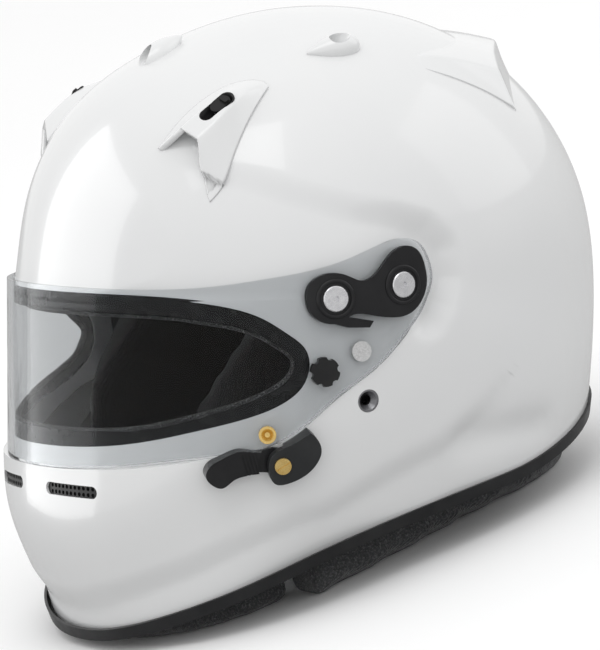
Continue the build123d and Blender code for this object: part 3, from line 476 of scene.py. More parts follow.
def fabric(name, low, high, light, weave, nap):
    """Heathered cloth: mottled yarn shades, flecks and a fine crossed weave."""
    mat, nt, bsdf = material(name)
    tc = nt.nodes.new("ShaderNodeTexCoord")
    flecks = noise(nt, weave * 1.4, 8.0, 0.75)
    shade = ramp(nt, flecks, [(0.30, low), (0.52, high), (0.66, light)])
    link(nt, shade, bsdf.inputs["Base Color"])
    bsdf.inputs["Roughness"].default_value = 0.95
    bsdf.inputs["Sheen Weight"].default_value = nap
    bsdf.inputs["Sheen Roughness"].default_value = 0.45
    wave = nt.nodes.new("ShaderNodeTexWave")
    wave.inputs["Scale"].default_value = weave
    wave.inputs["Distortion"].default_value = 3.0
    wave.inputs["Detail"].default_value = 3.0
    link(nt, tc.outputs["Object"], wave.inputs["Vector"])
    mix = nt.nodes.new("ShaderNodeMath")
    mix.operation = "ADD"
    link(nt, wave.outputs["Fac"], mix.inputs[0])
    link(nt, noise(nt, weave * 3, 6.0, 0.7), mix.inputs[1])
    bump(nt, bsdf, mix.outputs[0], 0.8, 0.0004)
    return mat


HEATHER = fabric("heather_fabric", (0.02, 0.021, 0.022), (0.05, 0.051, 0.053),
                 (0.19, 0.192, 0.195), 620.0, 0.3)
LINING = fabric("lining_fabric", (0.002, 0.002, 0.002), (0.006, 0.006, 0.006),
                (0.03, 0.03, 0.03), 380.0, 0.12)
WEBBING = fabric("strap_webbing", (0.008, 0.008, 0.008), (0.02, 0.02, 0.02),
                 (0.05, 0.05, 0.05), 600.0, 0.2)

NODE_MATERIALS = {
    "outer_shell": PAINT, "eyeport_gasket": RUBBER, "edge_trim": TRIM, "visor": VISOR_MAT,
    "visor_arm_left": BLACK, "visor_arm_right": BLACK, "pivot_post_left": DARKMETAL,
    "pivot_post_right": DARKMETAL, "pivot_screws": STEEL, "arm_screws": STEEL,
    "tear_off_post_left": BLACK, "tear_off_post_right": BLACK, "visor_disc": FROST,
    "latch_stud": BRASS, "latch_cover": GREY, "latch_lever": GREY, "latch_screw": BRASS,
    "brow_duct_left": PAINT, "brow_duct_right": PAINT, "brow_slider_left": BLACK,
    "brow_slider_right": BLACK, "centre_intake": PAINT, "exhaust_left": PAINT,
    "exhaust_right": PAINT, "rear_spoiler": PAINT, "chin_vent_grille_left": BLACK,
    "chin_vent_grille_right": BLACK, "restraint_insert_left": DARKMETAL,
    "restraint_insert_right": DARKMETAL, "neck_roll": HEATHER, "chin_skirt": HEATHER,
    "crown_pad": LINING, "cheek_pad_left": LINING, "cheek_pad_right": LINING,
    "impact_liner": FOAM, "chin_liner": FOAM, "chin_strap_left": WEBBING,
    "chin_strap_right": WEBBING, "strap_ring": STEEL,
}
for node, mat in NODE_MATERIALS.items():
    mesh = frame["nodes"][node].data
    mesh.materials.clear()
    mesh.materials.append(mat)


# outer shell, as the CAD skin with its style lines pressed in
CREASE = [(59, -50), (47, -62), (24, -78), (-2, -89), (-35, -106), (-52, -110), (-79, -124),
          (-93.5, -134), (-107, -143), (-116, -151), (-122, -160)]
UPPER = [(-1.25, -0.06), (-0.653, -0.064), (-0.515, -0.108), (-0.422, -0.171), (-0.369, -0.22),
         (-0.353, -0.272), (-0.358, -0.315), (-0.373, -0.353), (-0.433, -0.414),
         (-0.546, -0.47), (-0.709, -0.5245), (-0.913, -0.589), (-1.25, -0.625)]
EYEPORT = np.array(UPPER) * FRONT
EDGE = [(-1.15, -0.012), (-0.83, -0.018), (-0.665, -0.006), (-0.463, 0.028), (-0.232, 0.081),
        (-0.078, 0.142), (0.0, 0.164), (0.07, 0.15), (0.115, 0.09), (0.13, 0.02),
        (0.11, -0.05), (0.077, -0.112), (0.036, -0.161), (-0.081, -0.28), (-0.241, -0.395),
        (-0.366, -0.506), (-0.5, -0.58), (-0.628, -0.603), (-0.725, -0.62), (-0.83, -0.643),
        (-1.15, -0.69)]
EDGE = np.array(EDGE) * VISOR_REACH


def shifted(points, amount):
    """A line of the side view moved to its left by an amount."""
    pts = np.asarray(points, float)
    run = np.empty_like(pts)
    run[1:-1] = pts[2:] - pts[:-2]
    run[0], run[-1] = pts[1] - pts[0], pts[-1] - pts[-2]
    run /= np.linalg.norm(run, axis=1, keepdims=True)
    return pts + amount * np.column_stack([-run[:, 1], run[:, 0]])


def smooth_step(x):
    """A share that rises softly from 0 to 1."""
    x = np.clip(x, 0, 1)
    return x * x * (3 - 2 * x)


BRANCH = [(37, -78), (62, -75), (90, -72)]
SWING = np.array([(0.0, 0.0), (0.105, -0.095), (0.133, -0.051), (0.155, 0.022), (0.144, 0.101),
                  (0.088, 0.152), (-0.01, 0.185), (-0.165, 0.205), (-0.39, 0.275),
                  (-0.585, 0.347), (-0.735, 0.445), (-1.3, 0.79),
                  (-1.3, -0.02)]) * VISOR_REACH + HINGE[1:]


def inside(points, loop):
    """Which places of the side view lie inside a closed outline."""
    x, y = points[..., 0], points[..., 1]
    found = np.zeros(x.shape, bool)
    for (x0, y0), (x1, y1) in zip(loop, np.roll(loop, -1, 0)):
        spans = (y0 > y) != (y1 > y)
        found ^= spans & (x < (x1 - x0) * (y - y0) / (y1 - y0 + 1e-12) + x0)
    return found


# how deep the style lines are pressed and how softly they fade, in mm
CREASE_DEPTH, CREASE_BEFORE, CREASE_EASE, CREASE_AFTER, CREASE_FADE = 3.2, 7.0, 16.0, 6, 34.0
CREASE_END, CREASE_END_EASE = 72, 34
BRANCH_DEPTH, BRANCH_WIDTH = 2.6, 9.0
BRANCH_START, BRANCH_START_EASE, BRANCH_STOP, BRANCH_STOP_EASE = 22, 26, 112, 34
SWING_SINK, SWING_EDGE, SWING_EASE = 0.9, 1.0, 16.0


def style_lift(side):
    """How far the skin is moved along its normal by the style lines."""
    dist, sign = polyline_distance(side, CREASE)
    signed = dist * sign
    below = smooth_step((signed + CREASE_BEFORE) / CREASE_EASE)
    rear_fade = smooth_step((CREASE_END - side[..., 0]) / CREASE_END_EASE)
    fade = np.exp(-np.maximum(signed - CREASE_AFTER, 0) / CREASE_FADE)
    lift = -CREASE_DEPTH * below * fade * rear_fade
    dist, sign = polyline_distance(side, BRANCH)
    ends = (smooth_step((side[..., 0] - BRANCH_START) / BRANCH_START_EASE)
            * smooth_step((BRANCH_STOP - side[..., 0]) / BRANCH_STOP_EASE))
    return lift - BRANCH_DEPTH * np.exp(-(dist / BRANCH_WIDTH) ** 2) * ends


def press(g, normals):
    """Style lines on the skin, and the soft hollow that the visor swings into."""
    side = g[..., 1:]
    out = g + normals * style_lift(side)[..., None]
    centre = np.array(HINGE)
    radial = out - centre
    reach, width = VISOR_REACH - VISOR_WALL - SWING_SINK, VISOR_HALF - VISOR_WALL - SWING_SINK
    spread = np.sqrt((radial[..., 0] / width) ** 2
                     + (radial[..., 1] ** 2 + radial[..., 2] ** 2) / reach**2)
    dist, _ = polyline_distance(side, np.vstack([SWING, SWING[:1]]))
    near = np.where(inside(side, SWING), 1.0, smooth_step(1 - (dist - SWING_EDGE) / SWING_EASE))
    factor = 1 / (1 + np.maximum(spread - 1, 0) * near)
    return centre + radial * factor[..., None]


SHELL_WALL, CHIN_EXTRA, CAVITY_SIDE = 4.0, 4.2, 10
# where the wall grows thicker at the chin and how softly, in mm from the core
CHIN_FORWARD, CHIN_FORWARD_EASE = 60, 30
CHIN_TOP, CHIN_TOP_EASE, CHIN_BOTTOM, CHIN_BOTTOM_EASE = 20, 25, 120, 20
EYE_SHIFT = -0.3
CUT_REACH, PLAN_REACH = 160, 150
CUT_STEPS, SEAT_STEPS = 90, 140


def cavity():
    """The room inside the shell, its wall thicker low at the front."""
    g = body_grid(HALF_WIDTH - CAVITY_SIDE, SHELL_WALL, *INNER_GRID)
    chin = (smooth_step((-g[..., 1] - CHIN_FORWARD) / CHIN_FORWARD_EASE)
            * smooth_step((-g[..., 2] - CHIN_TOP) / CHIN_TOP_EASE))
    chin *= smooth_step((g[..., 2] + CHIN_BOTTOM) / CHIN_BOTTOM_EASE)
    g[..., 1:] *= (1 - CHIN_EXTRA / FRONT * chin)[..., None]
    return closed_grid("shell_inner", g)


# neckline: shares of the front reach, and of its rise above the lowest level
NECK = np.array([(-1.32, 0.2), (-1.1, 0.57), (-0.9, 0.77), (-0.57, 1.0), (-0.2, 1.01),
                 (0.15, 0.96), (0.35, 0.9), (0.53, 0.93), (0.75, 1.04), (1.28, 1.25)])
NECK_RISE, NECK_BASE, NECK_DROP = 28.0, 1.6, 6.2
FOOT_LEVEL, FOOT_REACH = -120, 150.0


def foot():
    """Everything below the neckline."""
    arch = open_spline(NECK * (FRONT, NECK_RISE) + (CORE[1], NECK_BASE - NECK_DROP), CUT_STEPS)
    loop = np.vstack([arch, [(arch[-1, 0], FOOT_LEVEL), (arch[0, 0], FOOT_LEVEL)]])
    g = np.array([np.column_stack([np.full(len(loop), x), loop])
                  for x in (-FOOT_REACH, FOOT_REACH)])
    return closed_grid("foot", g * MM, to_row=False)


def plan_block(inset):
    """Everything inside the visor's curve in plan, straight-sided behind the hinge."""
    ang = np.linspace(math.pi, 2 * math.pi, 120)
    a, b = VISOR_HALF - inset, VISOR_REACH - inset
    plan = [(a * math.cos(t), b * math.sin(t)) for t in ang] + [(a, b), (-a, b)]
    loops = [[(x, y + HINGE[1], z + HINGE[2]) for x, y in plan] for z in (-PLAN_REACH, PLAN_REACH)]
    return closed_grid("plan", np.array(loops))


SEAT_ROOM = 1.2


def visor_seat():
    """The room outside the visor's inner face, over the visor's own side outline."""
    seat = open_spline(shifted(EDGE, SEAT_ROOM), SEAT_STEPS) + np.array(HINGE[1:])
    room = prism("room", seat, -CUT_REACH, CUT_REACH)
    cut(room, plan_block(VISOR_WALL + VISOR_GAP))
    return room


def cylinder_tool(name, origin, axis, radius, low, high):
    """A round bar along an axis, all in the row frame in mm."""
    axis = np.asarray(axis, float) / np.linalg.norm(axis)
    helper = np.array([0, 0, 1.0]) if abs(axis[2]) < 0.9 else np.array([1.0, 0, 0])
    u = np.cross(axis, helper)
    u /= np.linalg.norm(u)
    v = np.cross(axis, u)
    ang = np.linspace(0, 2 * math.pi, ROUND_STEPS, endpoint=False)
    ring = np.outer(np.cos(ang), u) * radius + np.outer(np.sin(ang), v) * radius
    g = np.array([ring + np.asarray(origin) + axis * low, ring + np.asarray(origin) + axis * high])
    return closed_grid(name, g * MM, to_row=False)


# radii of the holes, and where their bars start and end along the axis, in mm
INSERT_HOLE_RADIUS, INSERT_HOLE_START, INSERT_HOLE_END = 5.6, -8, 30
POST_HOLE_RADIUS, POST_HOLE_START, POST_HOLE_END = 8.1, 119.0, 150.0


def insert_holes():
    """The holes of the threaded inserts, as bars."""
    for mount in frame["record"]["mounts"]:
        if mount["kind"] == "threaded_hole":
            yield cylinder_tool("hole", np.array(mount["pos_m"]) / MM, mount["axis"],
                                INSERT_HOLE_RADIUS, INSERT_HOLE_START, INSERT_HOLE_END)


def post_holes():
    """The holes of the two pivot posts, as bars."""
    hinge = next(j for j in frame["joints"] if j["name"] == "visor_hinge")
    for side in (1, -1):
        yield cylinder_tool("post", np.array(hinge["pos_m"]) / MM, (side, 0, 0),
                            POST_HOLE_RADIUS, POST_HOLE_START, POST_HOLE_END)


# the two chin slots, in upright mm
SLOT_OUTER, SLOT_INNER, SLOT_LEVEL, SLOT_ROUND = 51, 13, -100.5, 3
SLOT_FRONT, SLOT_BACK = -165.0, -100.0


def chin_slots():
    """The two slots with round ends, as bars."""
    ang = np.linspace(-math.pi / 2, math.pi / 2, 20)
    slot = [(SLOT_OUTER - SLOT_ROUND + SLOT_ROUND * math.cos(t),
             SLOT_LEVEL + SLOT_ROUND * math.sin(t)) for t in ang]
    slot += [(SLOT_INNER + SLOT_ROUND - SLOT_ROUND * math.cos(t),
              SLOT_LEVEL - SLOT_ROUND * math.sin(t)) for t in ang]
    for side in (1, -1):
        loops = np.array([[(side * x, y, z) for x, z in slot] for y in (SLOT_FRONT, SLOT_BACK)])
        yield closed_grid("slot", loops)


outer = body_grid(HALF_WIDTH, 0.0, *OUTER_GRID)
shell = closed_grid("shell_skin", press(outer, grid_normals(outer)))
cut(shell, cavity())
cut(shell, foot())
eye = open_spline(shifted(EYEPORT, EYE_SHIFT), CUT_STEPS)
cut(shell, prism("eye", eye, -CUT_REACH, CUT_REACH))
cut(shell, visor_seat())
for holes in (insert_holes(), post_holes(), chin_slots()):
    for hole in holes:
        cut(shell, hole)
shell.data.materials.clear()
shell.data.materials.append(PAINT)
SPLIT_ANGLE = math.radians(32)
mod = shell.modifiers.new("edges", "EDGE_SPLIT")
mod.split_angle = SPLIT_ANGLE
apply_all(shell)
shade_smooth(shell)
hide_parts("outer_shell")
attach(shell, "shell")


# sheets that follow the photograph more closely than the solids
SOFT, SHARP = 0.0, 1.0


def cage(name, verts, faces, creases, thickness, side):
    """A smooth sheet from a few control places given in upright mm, on one side."""
    pts = np.array(verts, float) * (side, 1, 1)
    obj = new_object(name, place(pts), faces if side > 0 else [f[::-1] for f in faces])
    mesh = obj.data
    crease = mesh.attributes.new("crease_edge", "FLOAT", "EDGE")
    for edge in mesh.edges:
        pair = frozenset(edge.vertices)
        crease.data[edge.index].value = creases.get(pair, SOFT)
    sub = obj.modifiers.new("subdivision", "SUBSURF")
    sub.levels = 4
    solid = obj.modifiers.new("wall", "SOLIDIFY")
    solid.thickness = thickness * MM
    solid.offset = -1
    apply_all(obj)
    shade_smooth(obj)
    return obj


# brow ducts: their middle, their directions outwards, back up and across, and their places
DUCT_CENTRE = np.array([68, -74.7, 82.3])
DUCT_N = np.array([0.529, -0.523, 0.668])
DUCT_U = np.array([0.035, 0.8, 0.599])
DUCT_V = np.cross(DUCT_N, DUCT_U)
if DUCT_V @ np.array([-0.848, -0.293, 0.441]) < 0:
    DUCT_V = -DUCT_V
DUCT_EDGE_LIFT, DUCT_WALL = 1.3, 3.0
VISOR_SWEEP, SWEEP_GAP = 32, 0.6
# the shutter's slot: room round it, and how much of an end's radius its straight part leaves out
SHUTTER_GAP, ROUND_END_SHARE = 0.5, 0.6
# heights over the shutter's middle in mm, and the cup's size beside the slot's outline
OPENING_LOW, OPENING_HIGH = -3.4, 8
CUP_SIZE, CUP_LOW, CUP_HIGH = 1.06, -3.6, 0.5
CUP_ROOM_SIZE, CUP_ROOM_LOW, CUP_ROOM_HIGH = 0.97, -2.7, 3


def duct_place(u, v, lift=None):
    """A place of the duct at a height over its middle, or just over the skin."""
    p = DUCT_CENTRE + u * DUCT_U + v * DUCT_V
    if lift is None:
        return to_skin(p, DUCT_N) + DUCT_EDGE_LIFT * DUCT_N
    return p + lift * DUCT_N


def swing_clear(p, inset):
    """Places kept inside what the visor's inner face sweeps on its way up."""
    radial = p - np.array(HINGE)
    spread = np.sqrt((radial[:, 0] / (VISOR_HALF - inset)) ** 2
                     + (radial[:, 1] ** 2 + radial[:, 2] ** 2) / (VISOR_REACH - inset) ** 2)
    swept = np.degrees(np.arctan2(radial[:, 2], -radial[:, 1])) < VISOR_SWEEP
    factor = np.where(swept, 1 / np.maximum(spread, 1), 1.0)
    return np.array(HINGE) + radial * factor[:, None]


DUCT = {
    "tip": (-30, 6), "t2": (-11.7, 8.9), "t3": (6.2, 8.4), "t4": (21.4, 5.6), "t5": (31.4, -4.0),
    "t6": (29.8, -9.4), "b6": (16.3, -15.2), "b7": (2.8, -21.2), "b8": (-12.6, -28.5),
    "b9": (-23.5, -34.4), "b10": (-34.0, -33.4), "b11": (-26.0, -21.9, 1.2),
    "r1a": (-19.2, -2.3, 8.2), "r1b": (-7, -3.3, 9.7), "r1c": (4.8, -4.4, 9.6),
    "r1d": (15.8, -5.2, 7.0), "r2a": (-18.7, -14.5, 8.4), "r2b": (-7.5, -15.1, 9.8),
    "r2c": (4.2, -12.9, 9.4), "r2d": (19.4, -9.8, 6.0),
}
DUCT_KEYS = list(DUCT)
DUCT_FACES = [
    ("tip", "t2", "r1b", "r1a"), ("t2", "t3", "r1c", "r1b"), ("t3", "t4", "r1d", "r1c"),
    ("t4", "t5", "r2d", "r1d"), ("r1a", "r1b", "r2b", "r2a"), ("r1b", "r1c", "r2c", "r2b"),
    ("r1c", "r1d", "r2d", "r2c"), ("r2a", "r2b", "b8", "b9"), ("r2a", "b9", "b10", "b11"),
    ("r2b", "r2c", "b7", "b8"), ("r2c", "r2d", "b6", "b7"), ("r2d", "t5", "t6", "b6"),
]
DUCT_RIDGES = (("r1a", "r1b"), ("r1b", "r1c"), ("r1c", "r1d"), ("r2a", "r2b"), ("r2b", "r2c"),
               ("r2c", "r2d"))
DUCT_RIDGE_CREASE = 0.62


def duct_sheet():
    """The duct's places, its faces turned outwards, and how sharp its edges are."""
    index = DUCT_KEYS.index
    faces = [tuple(index(k) for k in f) for f in DUCT_FACES]
    users = {}
    for f in faces:
        for pair in zip(f, f[1:] + f[:1]):
            users.setdefault(frozenset(pair), []).append(f)
    creases = {pair: SHARP for pair, found in users.items() if len(found) == 1}
    for a, b in DUCT_RIDGES:
        creases[frozenset((index(a), index(b)))] = DUCT_RIDGE_CREASE
    verts = [duct_place(*DUCT[k]) for k in DUCT_KEYS]
    a, b, c = (verts[i] for i in faces[0][:3])
    if np.cross(b - a, c - a) @ DUCT_N < 0:
        faces = [f[::-1] for f in faces]
    return verts, faces, creases


def clear_of_visor(duct):
    """Moves the duct's places inside the visor's sweep."""
    shape = np.empty(len(duct.data.vertices) * 3)
    duct.data.vertices.foreach_get("co", shape)
    shape = place(swing_clear(unplace(shape.reshape(-1, 3)), VISOR_WALL + SWEEP_GAP))
    duct.data.vertices.foreach_set("co", shape.ravel())


def slot_outline(slider_name, side):
    """The middle and the outline of the slot that the shutter slides in."""
    slider = frame["nodes"][slider_name]
    shape = unplace(np.array([v.co for v in slider.data.vertices])) * (side, 1, 1)
    reach, spread, rise = ((shape - DUCT_CENTRE) @ axis for axis in (DUCT_U, DUCT_V, DUCT_N))
    low, high = next(j["range_m"] for j in frame["record"]["behaviour"]["joints"]
                     if j["name"] == slider_name + "_slide")
    travel = (high - low) / MM
    radius = (spread.max() - spread.min()) / 2 + SHUTTER_GAP
    half = (reach.max() - reach.min() + travel) / 2 + SHUTTER_GAP - ROUND_END_SHARE * radius
    base = (DUCT_CENTRE + DUCT_U * (reach.max() + reach.min() - travel) / 2
            + DUCT_V * (spread.max() + spread.min()) / 2 + DUCT_N * (rise.max() + rise.min()) / 2)
    along = np.linspace(0, 2 * math.pi, ROUND_STEPS, endpoint=False)
    ring = np.array([DUCT_U * (radius * math.cos(t) + (half if math.cos(t) > 0 else -half))
                     + DUCT_V * radius * math.sin(t) for t in along])
    return base, ring


def brow_duct(name, side):
    """One moulded duct, with a slot for its shutter and a dark cup under the slot."""
    duct = cage("brow_duct_" + name + "_moulded", *duct_sheet(), DUCT_WALL, side)
    clear_of_visor(duct)
    base, ring = slot_outline("brow_slider_" + name, side)

    def block(piece, size, low, high):
        levels = [ring * size + base + low * DUCT_N, ring * size + base + high * DUCT_N]
        return closed_grid(piece, np.array(levels) * (side, 1, 1))

    cut(duct, block("slot_cut", 1.0, OPENING_LOW, OPENING_HIGH))
    outfit(duct, PAINT, "shell", "brow_duct_" + name)
    shade_smooth(duct)
    cup = block("slot_cup_" + name, CUP_SIZE, CUP_LOW, CUP_HIGH)
    cut(cup, block("cup_room", CUP_ROOM_SIZE, CUP_ROOM_LOW, CUP_ROOM_HIGH))
    outfit(cup, BLACK, "shell")


brow_duct("left", 1)
brow_duct("right", -1)


# spoiler across the rear, ridges at its two sides and a shallow valley between them
SPOILER = [
    [(84, 22, 107.2), (87.5, 36, 101), (89, 52, 96), (89, 69, 90), (87.5, 84, 82), (87, 87, 79)],
    [(82, 25, 108.8), (80, 36.5, 109.2), (80, 48.3, 108.4), (80, 62, 106), (80, 80, 101.5),
     (84, 88, 80)],
    [(62, 40, 115.6), (61, 52, 116.1), (60, 64, 115.2), (60, 76, 113), (60, 88.5, 110.3),
     (64, 101, 87)],
    [(32, 62, 120), (31, 76, 119.8), (30, 88, 118.3), (30, 98, 116.2), (30, 109, 113.6),
     (32, 123, 91)],
    [(0, 76, 121.5), (0, 89, 121.4), (0, 102, 120.6), (0, 115, 119), (0, 127, 116.8),
     (0, 137.5, 93)],
]
SPOILER_WALL, SPOILER_END_LIFT, SPOILER_EDGE_LIFT = 3.2, 1.0, -1.2
WING_CREASE, RIDGE_CREASE = 0.85, 0.75


def spoiler_sheet():
    """The spoiler's places over both sides, its faces turned up, and how sharp its edges are."""
    rows = np.array(SPOILER, float)
    full = np.concatenate([rows, rows[-2::-1] * (-1, 1, 1)])
    for edge, lift in ((full[0], SPOILER_END_LIFT), (full[-1], SPOILER_END_LIFT),
                       (full[:, 0], SPOILER_EDGE_LIFT), (full[:, -1], SPOILER_EDGE_LIFT)):
        normal = skin_normal(edge)
        edge[:] = to_skin(edge, normal) + lift * normal
    count, width = full.shape[:2]
    verts = full.reshape(-1, 3)
    index = np.arange(count * width).reshape(count, width).tolist()
    faces = [(index[r][c], index[r][c + 1], index[r + 1][c + 1], index[r + 1][c])
             for r in range(count - 1) for c in range(width - 1)]
    a, b, c = (verts[i] for i in (index[2][2], index[2][3], index[3][3]))
    if np.cross(b - a, c - a)[2] < 0:
        faces = [f[::-1] for f in faces]
    creases = {}
    for column, crease in ((width - 2, WING_CREASE), (0, SHARP), (width - 1, SHARP)):
        for r in range(count - 1):
            creases[frozenset((index[r][column], index[r + 1][column]))] = crease
    for r, crease in ((0, SHARP), (1, RIDGE_CREASE), (count - 2, RIDGE_CREASE),
                      (count - 1, SHARP)):
        for c in range(width - 1):
            creases[frozenset((index[r][c], index[r][c + 1]))] = crease
    return verts, faces, creases


spoiler = cage("spoiler_moulded", *spoiler_sheet(), SPOILER_WALL, 1)
outfit(spoiler, PAINT, "shell", "rear_spoiler")


# rubber lip round the eyeport, swept along its edge
EDGE_STEPS, LOOP_STEPS, LOOP_SMOOTHINGS = 9000, 260, 6


def eyeport_loop():
    """The eyeport's edge on the skin all the way round, in even steps and lightly smoothed."""
    edge = open_spline(EYEPORT, EDGE_STEPS)
    across = skin_across(edge)
    keep = np.where(across >= 0)[0]
    edge, across = edge[keep[0]:keep[-1] + 1], across[keep[0]:keep[-1] + 1]
    across[0] = across[-1] = 0.0
    half = np.column_stack([across, edge])
    run = np.concatenate([[0], np.cumsum(np.linalg.norm(np.diff(half, axis=0), axis=1))])
    even = np.linspace(0, run[-1], LOOP_STEPS)
    half = np.column_stack([np.interp(even, run, half[:, i]) for i in range(3)])
    loop = np.concatenate([half, half[-2:0:-1] * (-1, 1, 1)])
    for _ in range(LOOP_SMOOTHINGS):
        loop = (np.roll(loop, 1, 0) + 2 * loop + np.roll(loop, -1, 0)) / 4
    return loop


def toward(loop, normal, middle):
    """Directions along the skin and square to a loop, turned towards a place."""
    tangent = np.roll(loop, -1, 0) - np.roll(loop, 1, 0)
    tangent /= np.linalg.norm(tangent, axis=1, keepdims=True)
    found = np.cross(normal, tangent)
    return -found if np.sum(found * (middle - loop)) < 0 else found


EYE_LOOP = eyeport_loop()
EYE_NORMAL = skin_normal(EYE_LOOP)
EYE_MIDDLE = np.array([0, -125, -45])
EYE_INWARD = toward(EYE_LOOP, EYE_NORMAL, EYE_MIDDLE)
LIP_GAP = 0.55


def sweep(name, section):
    """A closed band round the eyeport from its section: inward along the skin, and height."""
    ring = np.array([EYE_LOOP + s * EYE_INWARD + h * EYE_NORMAL for s, h in section])
    g = ring.transpose(1, 0, 2)
    back = g[..., 1] - HINGE[1]
    a, b = VISOR_HALF - VISOR_WALL - LIP_GAP, VISOR_REACH - VISOR_WALL - LIP_GAP
    e = np.sqrt((g[..., 0] / a) ** 2 + (np.minimum(back, 0) / b) ** 2)
    shrink = 1 / np.maximum(e, 1)
    g[..., 0] *= shrink
    g[..., 1] = HINGE[1] + back * shrink
    obj = new_object(name, place(g).reshape(-1, 3), ring_faces(g))
    turn_outward(obj)
    return obj


LIP = [(-0.8, -3.0), (-0.7, 0.1), (0.0, 0.8), (1.6, 1.1), (3.2, 0.8), (4.1, 0.0), (4.7, -0.6),
       (5.4, -0.3), (6.5, 0.2), (7.7, -0.2), (8.4, -1.2), (8.6, -3.0), (8.2, -7.5), (4.0, -8.5),
       (-0.5, -8.0)]
ROLL_INWARD, ROLL_HEIGHT, ROLL_RADIUS = 8.4, -7.4, 1.5
ROLL = [(ROLL_INWARD + ROLL_RADIUS * math.cos(t), ROLL_HEIGHT + ROLL_RADIUS * math.sin(t))
        for t in np.linspace(0, 2 * math.pi, 20, endpoint=False)]
outfit(sweep("gasket_lip", LIP), GLOSS_RUBBER, "shell", "eyeport_gasket")
# the lining's edge wears the napped cloth, its pale flecks partly painted highlight along the eyeport
outfit(sweep("lining_edge", ROLL), NAP_WITH_PAINTED_SHEEN, "shell")


# visor arms and latch with eased edges
EASE_SEGMENTS, EASE_ANGLE = 3, math.radians(38)


def eased(node, name, width, mat, body):
    """A copy of a solid with its edges rounded over a little."""
    obj = solid_copy(node, name, flatten=True)
    mod = obj.modifiers.new("ease", "BEVEL")
    mod.width = width * MM
    mod.segments = EASE_SEGMENTS
    mod.limit_method = "ANGLE"
    mod.angle_limit = EASE_ANGLE
    mod.use_clamp_overlap = True
    apply_all(obj)
    shade_smooth(obj)
    mod = obj.modifiers.new("normals", "WEIGHTED_NORMAL")
    mod.keep_sharp = False
    apply_all(obj)
    return outfit(obj, mat, body, node)


for side in ("left", "right"):
    eased("visor_arm_" + side, "arm_eased_" + side, 0.7, GLOSS_BLACK, "shield")
eased("latch_cover", "latch_cover_eased", 1.6, GREY, "shell")
eased("latch_lever", "latch_lever_eased", 0.6, GLOSS_BLACK, "lever")


# raised beads round the arm's screws
BEAD_RADIUS, BEAD_THICKNESS, BEAD_FLATNESS = 8.6, 1.1, 0.75
BEAD_SINK = 0.1 * MM
BEAD_STEPS, BEAD_SECTION_STEPS = 72, 14
# where the arm's front screw is from the hinge, and how far it stands out of the visor's middle
SCREW_REACH, SCREW_BACK, SCREW_UP, SCREW_OUT = 34.5, -0.985, -0.174, 2.15


def bead(name, centre, axis):
    """A raised bead round a screw, in the row frame in metres."""
    axis = np.asarray(axis, float) / np.linalg.norm(axis)
    u = np.cross(axis, (0, 0, 1.0))
    u /= np.linalg.norm(u)
    v = np.cross(axis, u)
    rings = []
    for t in np.linspace(0, 2 * math.pi, BEAD_STEPS, endpoint=False):
        out = u * math.cos(t) + v * math.sin(t)
        rings.append([centre + MM * (out * (BEAD_RADIUS + BEAD_THICKNESS * math.cos(q))
                                     + axis * BEAD_FLATNESS * BEAD_THICKNESS * math.sin(q))
                      for q in np.linspace(0, 2 * math.pi, BEAD_SECTION_STEPS, endpoint=False)])
    g = np.array(rings)
    return outfit(new_object(name, g.reshape(-1, 3), ring_faces(g)), GLOSS_BLACK, "shield")


def arm_beads(name, side):
    """The bead at an arm's pivot and the one at its front screw."""
    arm = np.array([v.co for v in frame["nodes"]["visor_arm_" + name].data.vertices])
    pivot = place(np.array([0, HINGE[1], HINGE[2]]))
    pivot[0] = side * (np.abs(arm[:, 0]).max() - BEAD_SINK)
    bead("pivot_bead_" + name, pivot, (side, 0, 0))
    back, up = SCREW_BACK * SCREW_REACH, SCREW_UP * SCREW_REACH
    x = VISOR_HALF * math.sqrt(1 - (back / VISOR_REACH) ** 2)
    normal = np.array([x / VISOR_HALF**2, back / VISOR_REACH**2, 0])
    normal /= np.linalg.norm(normal)
    spot = np.array([x, back + HINGE[1], up + HINGE[2]]) + normal * SCREW_OUT
    bead("arm_bead_" + name, place(spot * (side, 1, 1)), turn(normal * (side, 1, 1)))


arm_beads("left", 1)
arm_beads("right", -1)


# padded fabric
PUFF_VOXEL, PUFF_FRAMES = 0.004, 20


def swollen(obj, start, pressure, cap):
    """The places of a mesh after pressure inside its cloth, none moved by more than a cap."""
    cloth = obj.modifiers.new("cloth", "CLOTH")
    s = cloth.settings
    s.use_pressure = True
    s.uniform_pressure_force = pressure
    s.quality = 4
    s.tension_stiffness = 12
    s.compression_stiffness = 12
    s.bending_stiffness = 0.6
    s.effector_weights.gravity = 0.0
    scene = bpy.context.scene
    for f in range(1, PUFF_FRAMES + 1):
        scene.frame_set(f)
    done = obj.evaluated_get(bpy.context.evaluated_depsgraph_get())
    end = np.empty(len(start) * 3)
    done.data.vertices.foreach_get("co", end)
    obj.modifiers.remove(cloth)
    scene.frame_set(1)
    move = end.reshape(-1, 3) - start
    size = np.linalg.norm(move, axis=1, keepdims=True)
    return start + move * np.minimum(1, cap / np.maximum(size, 1e-9))


def puff(node, name, mat, pressure, cap):
    """A stuffed copy of a soft solid, kept above the floor and lightly smoothed."""
    obj = solid_copy(node, name)
    mod = obj.modifiers.new("remesh", "REMESH")
    mod.mode = "VOXEL"
    mod.voxel_size = PUFF_VOXEL
    apply_all(obj)
    start = np.empty(len(obj.data.vertices) * 3)
    obj.data.vertices.foreach_get("co", start)
    start = start.reshape(-1, 3)
    start = swollen(obj, start, pressure, cap)
    start[:, 2] = np.maximum(start[:, 2], 0.0)
    obj.data.vertices.foreach_set("co", start.ravel())
    obj.data.update()
    smooth = obj.modifiers.new("smooth", "SMOOTH")
    smooth.factor = 0.5
    smooth.iterations = 3
    sub = obj.modifiers.new("subdivision", "SUBSURF")
    sub.levels = 1
    apply_all(obj)
    shade_smooth(obj)
    outfit(obj, mat, "shell", node)


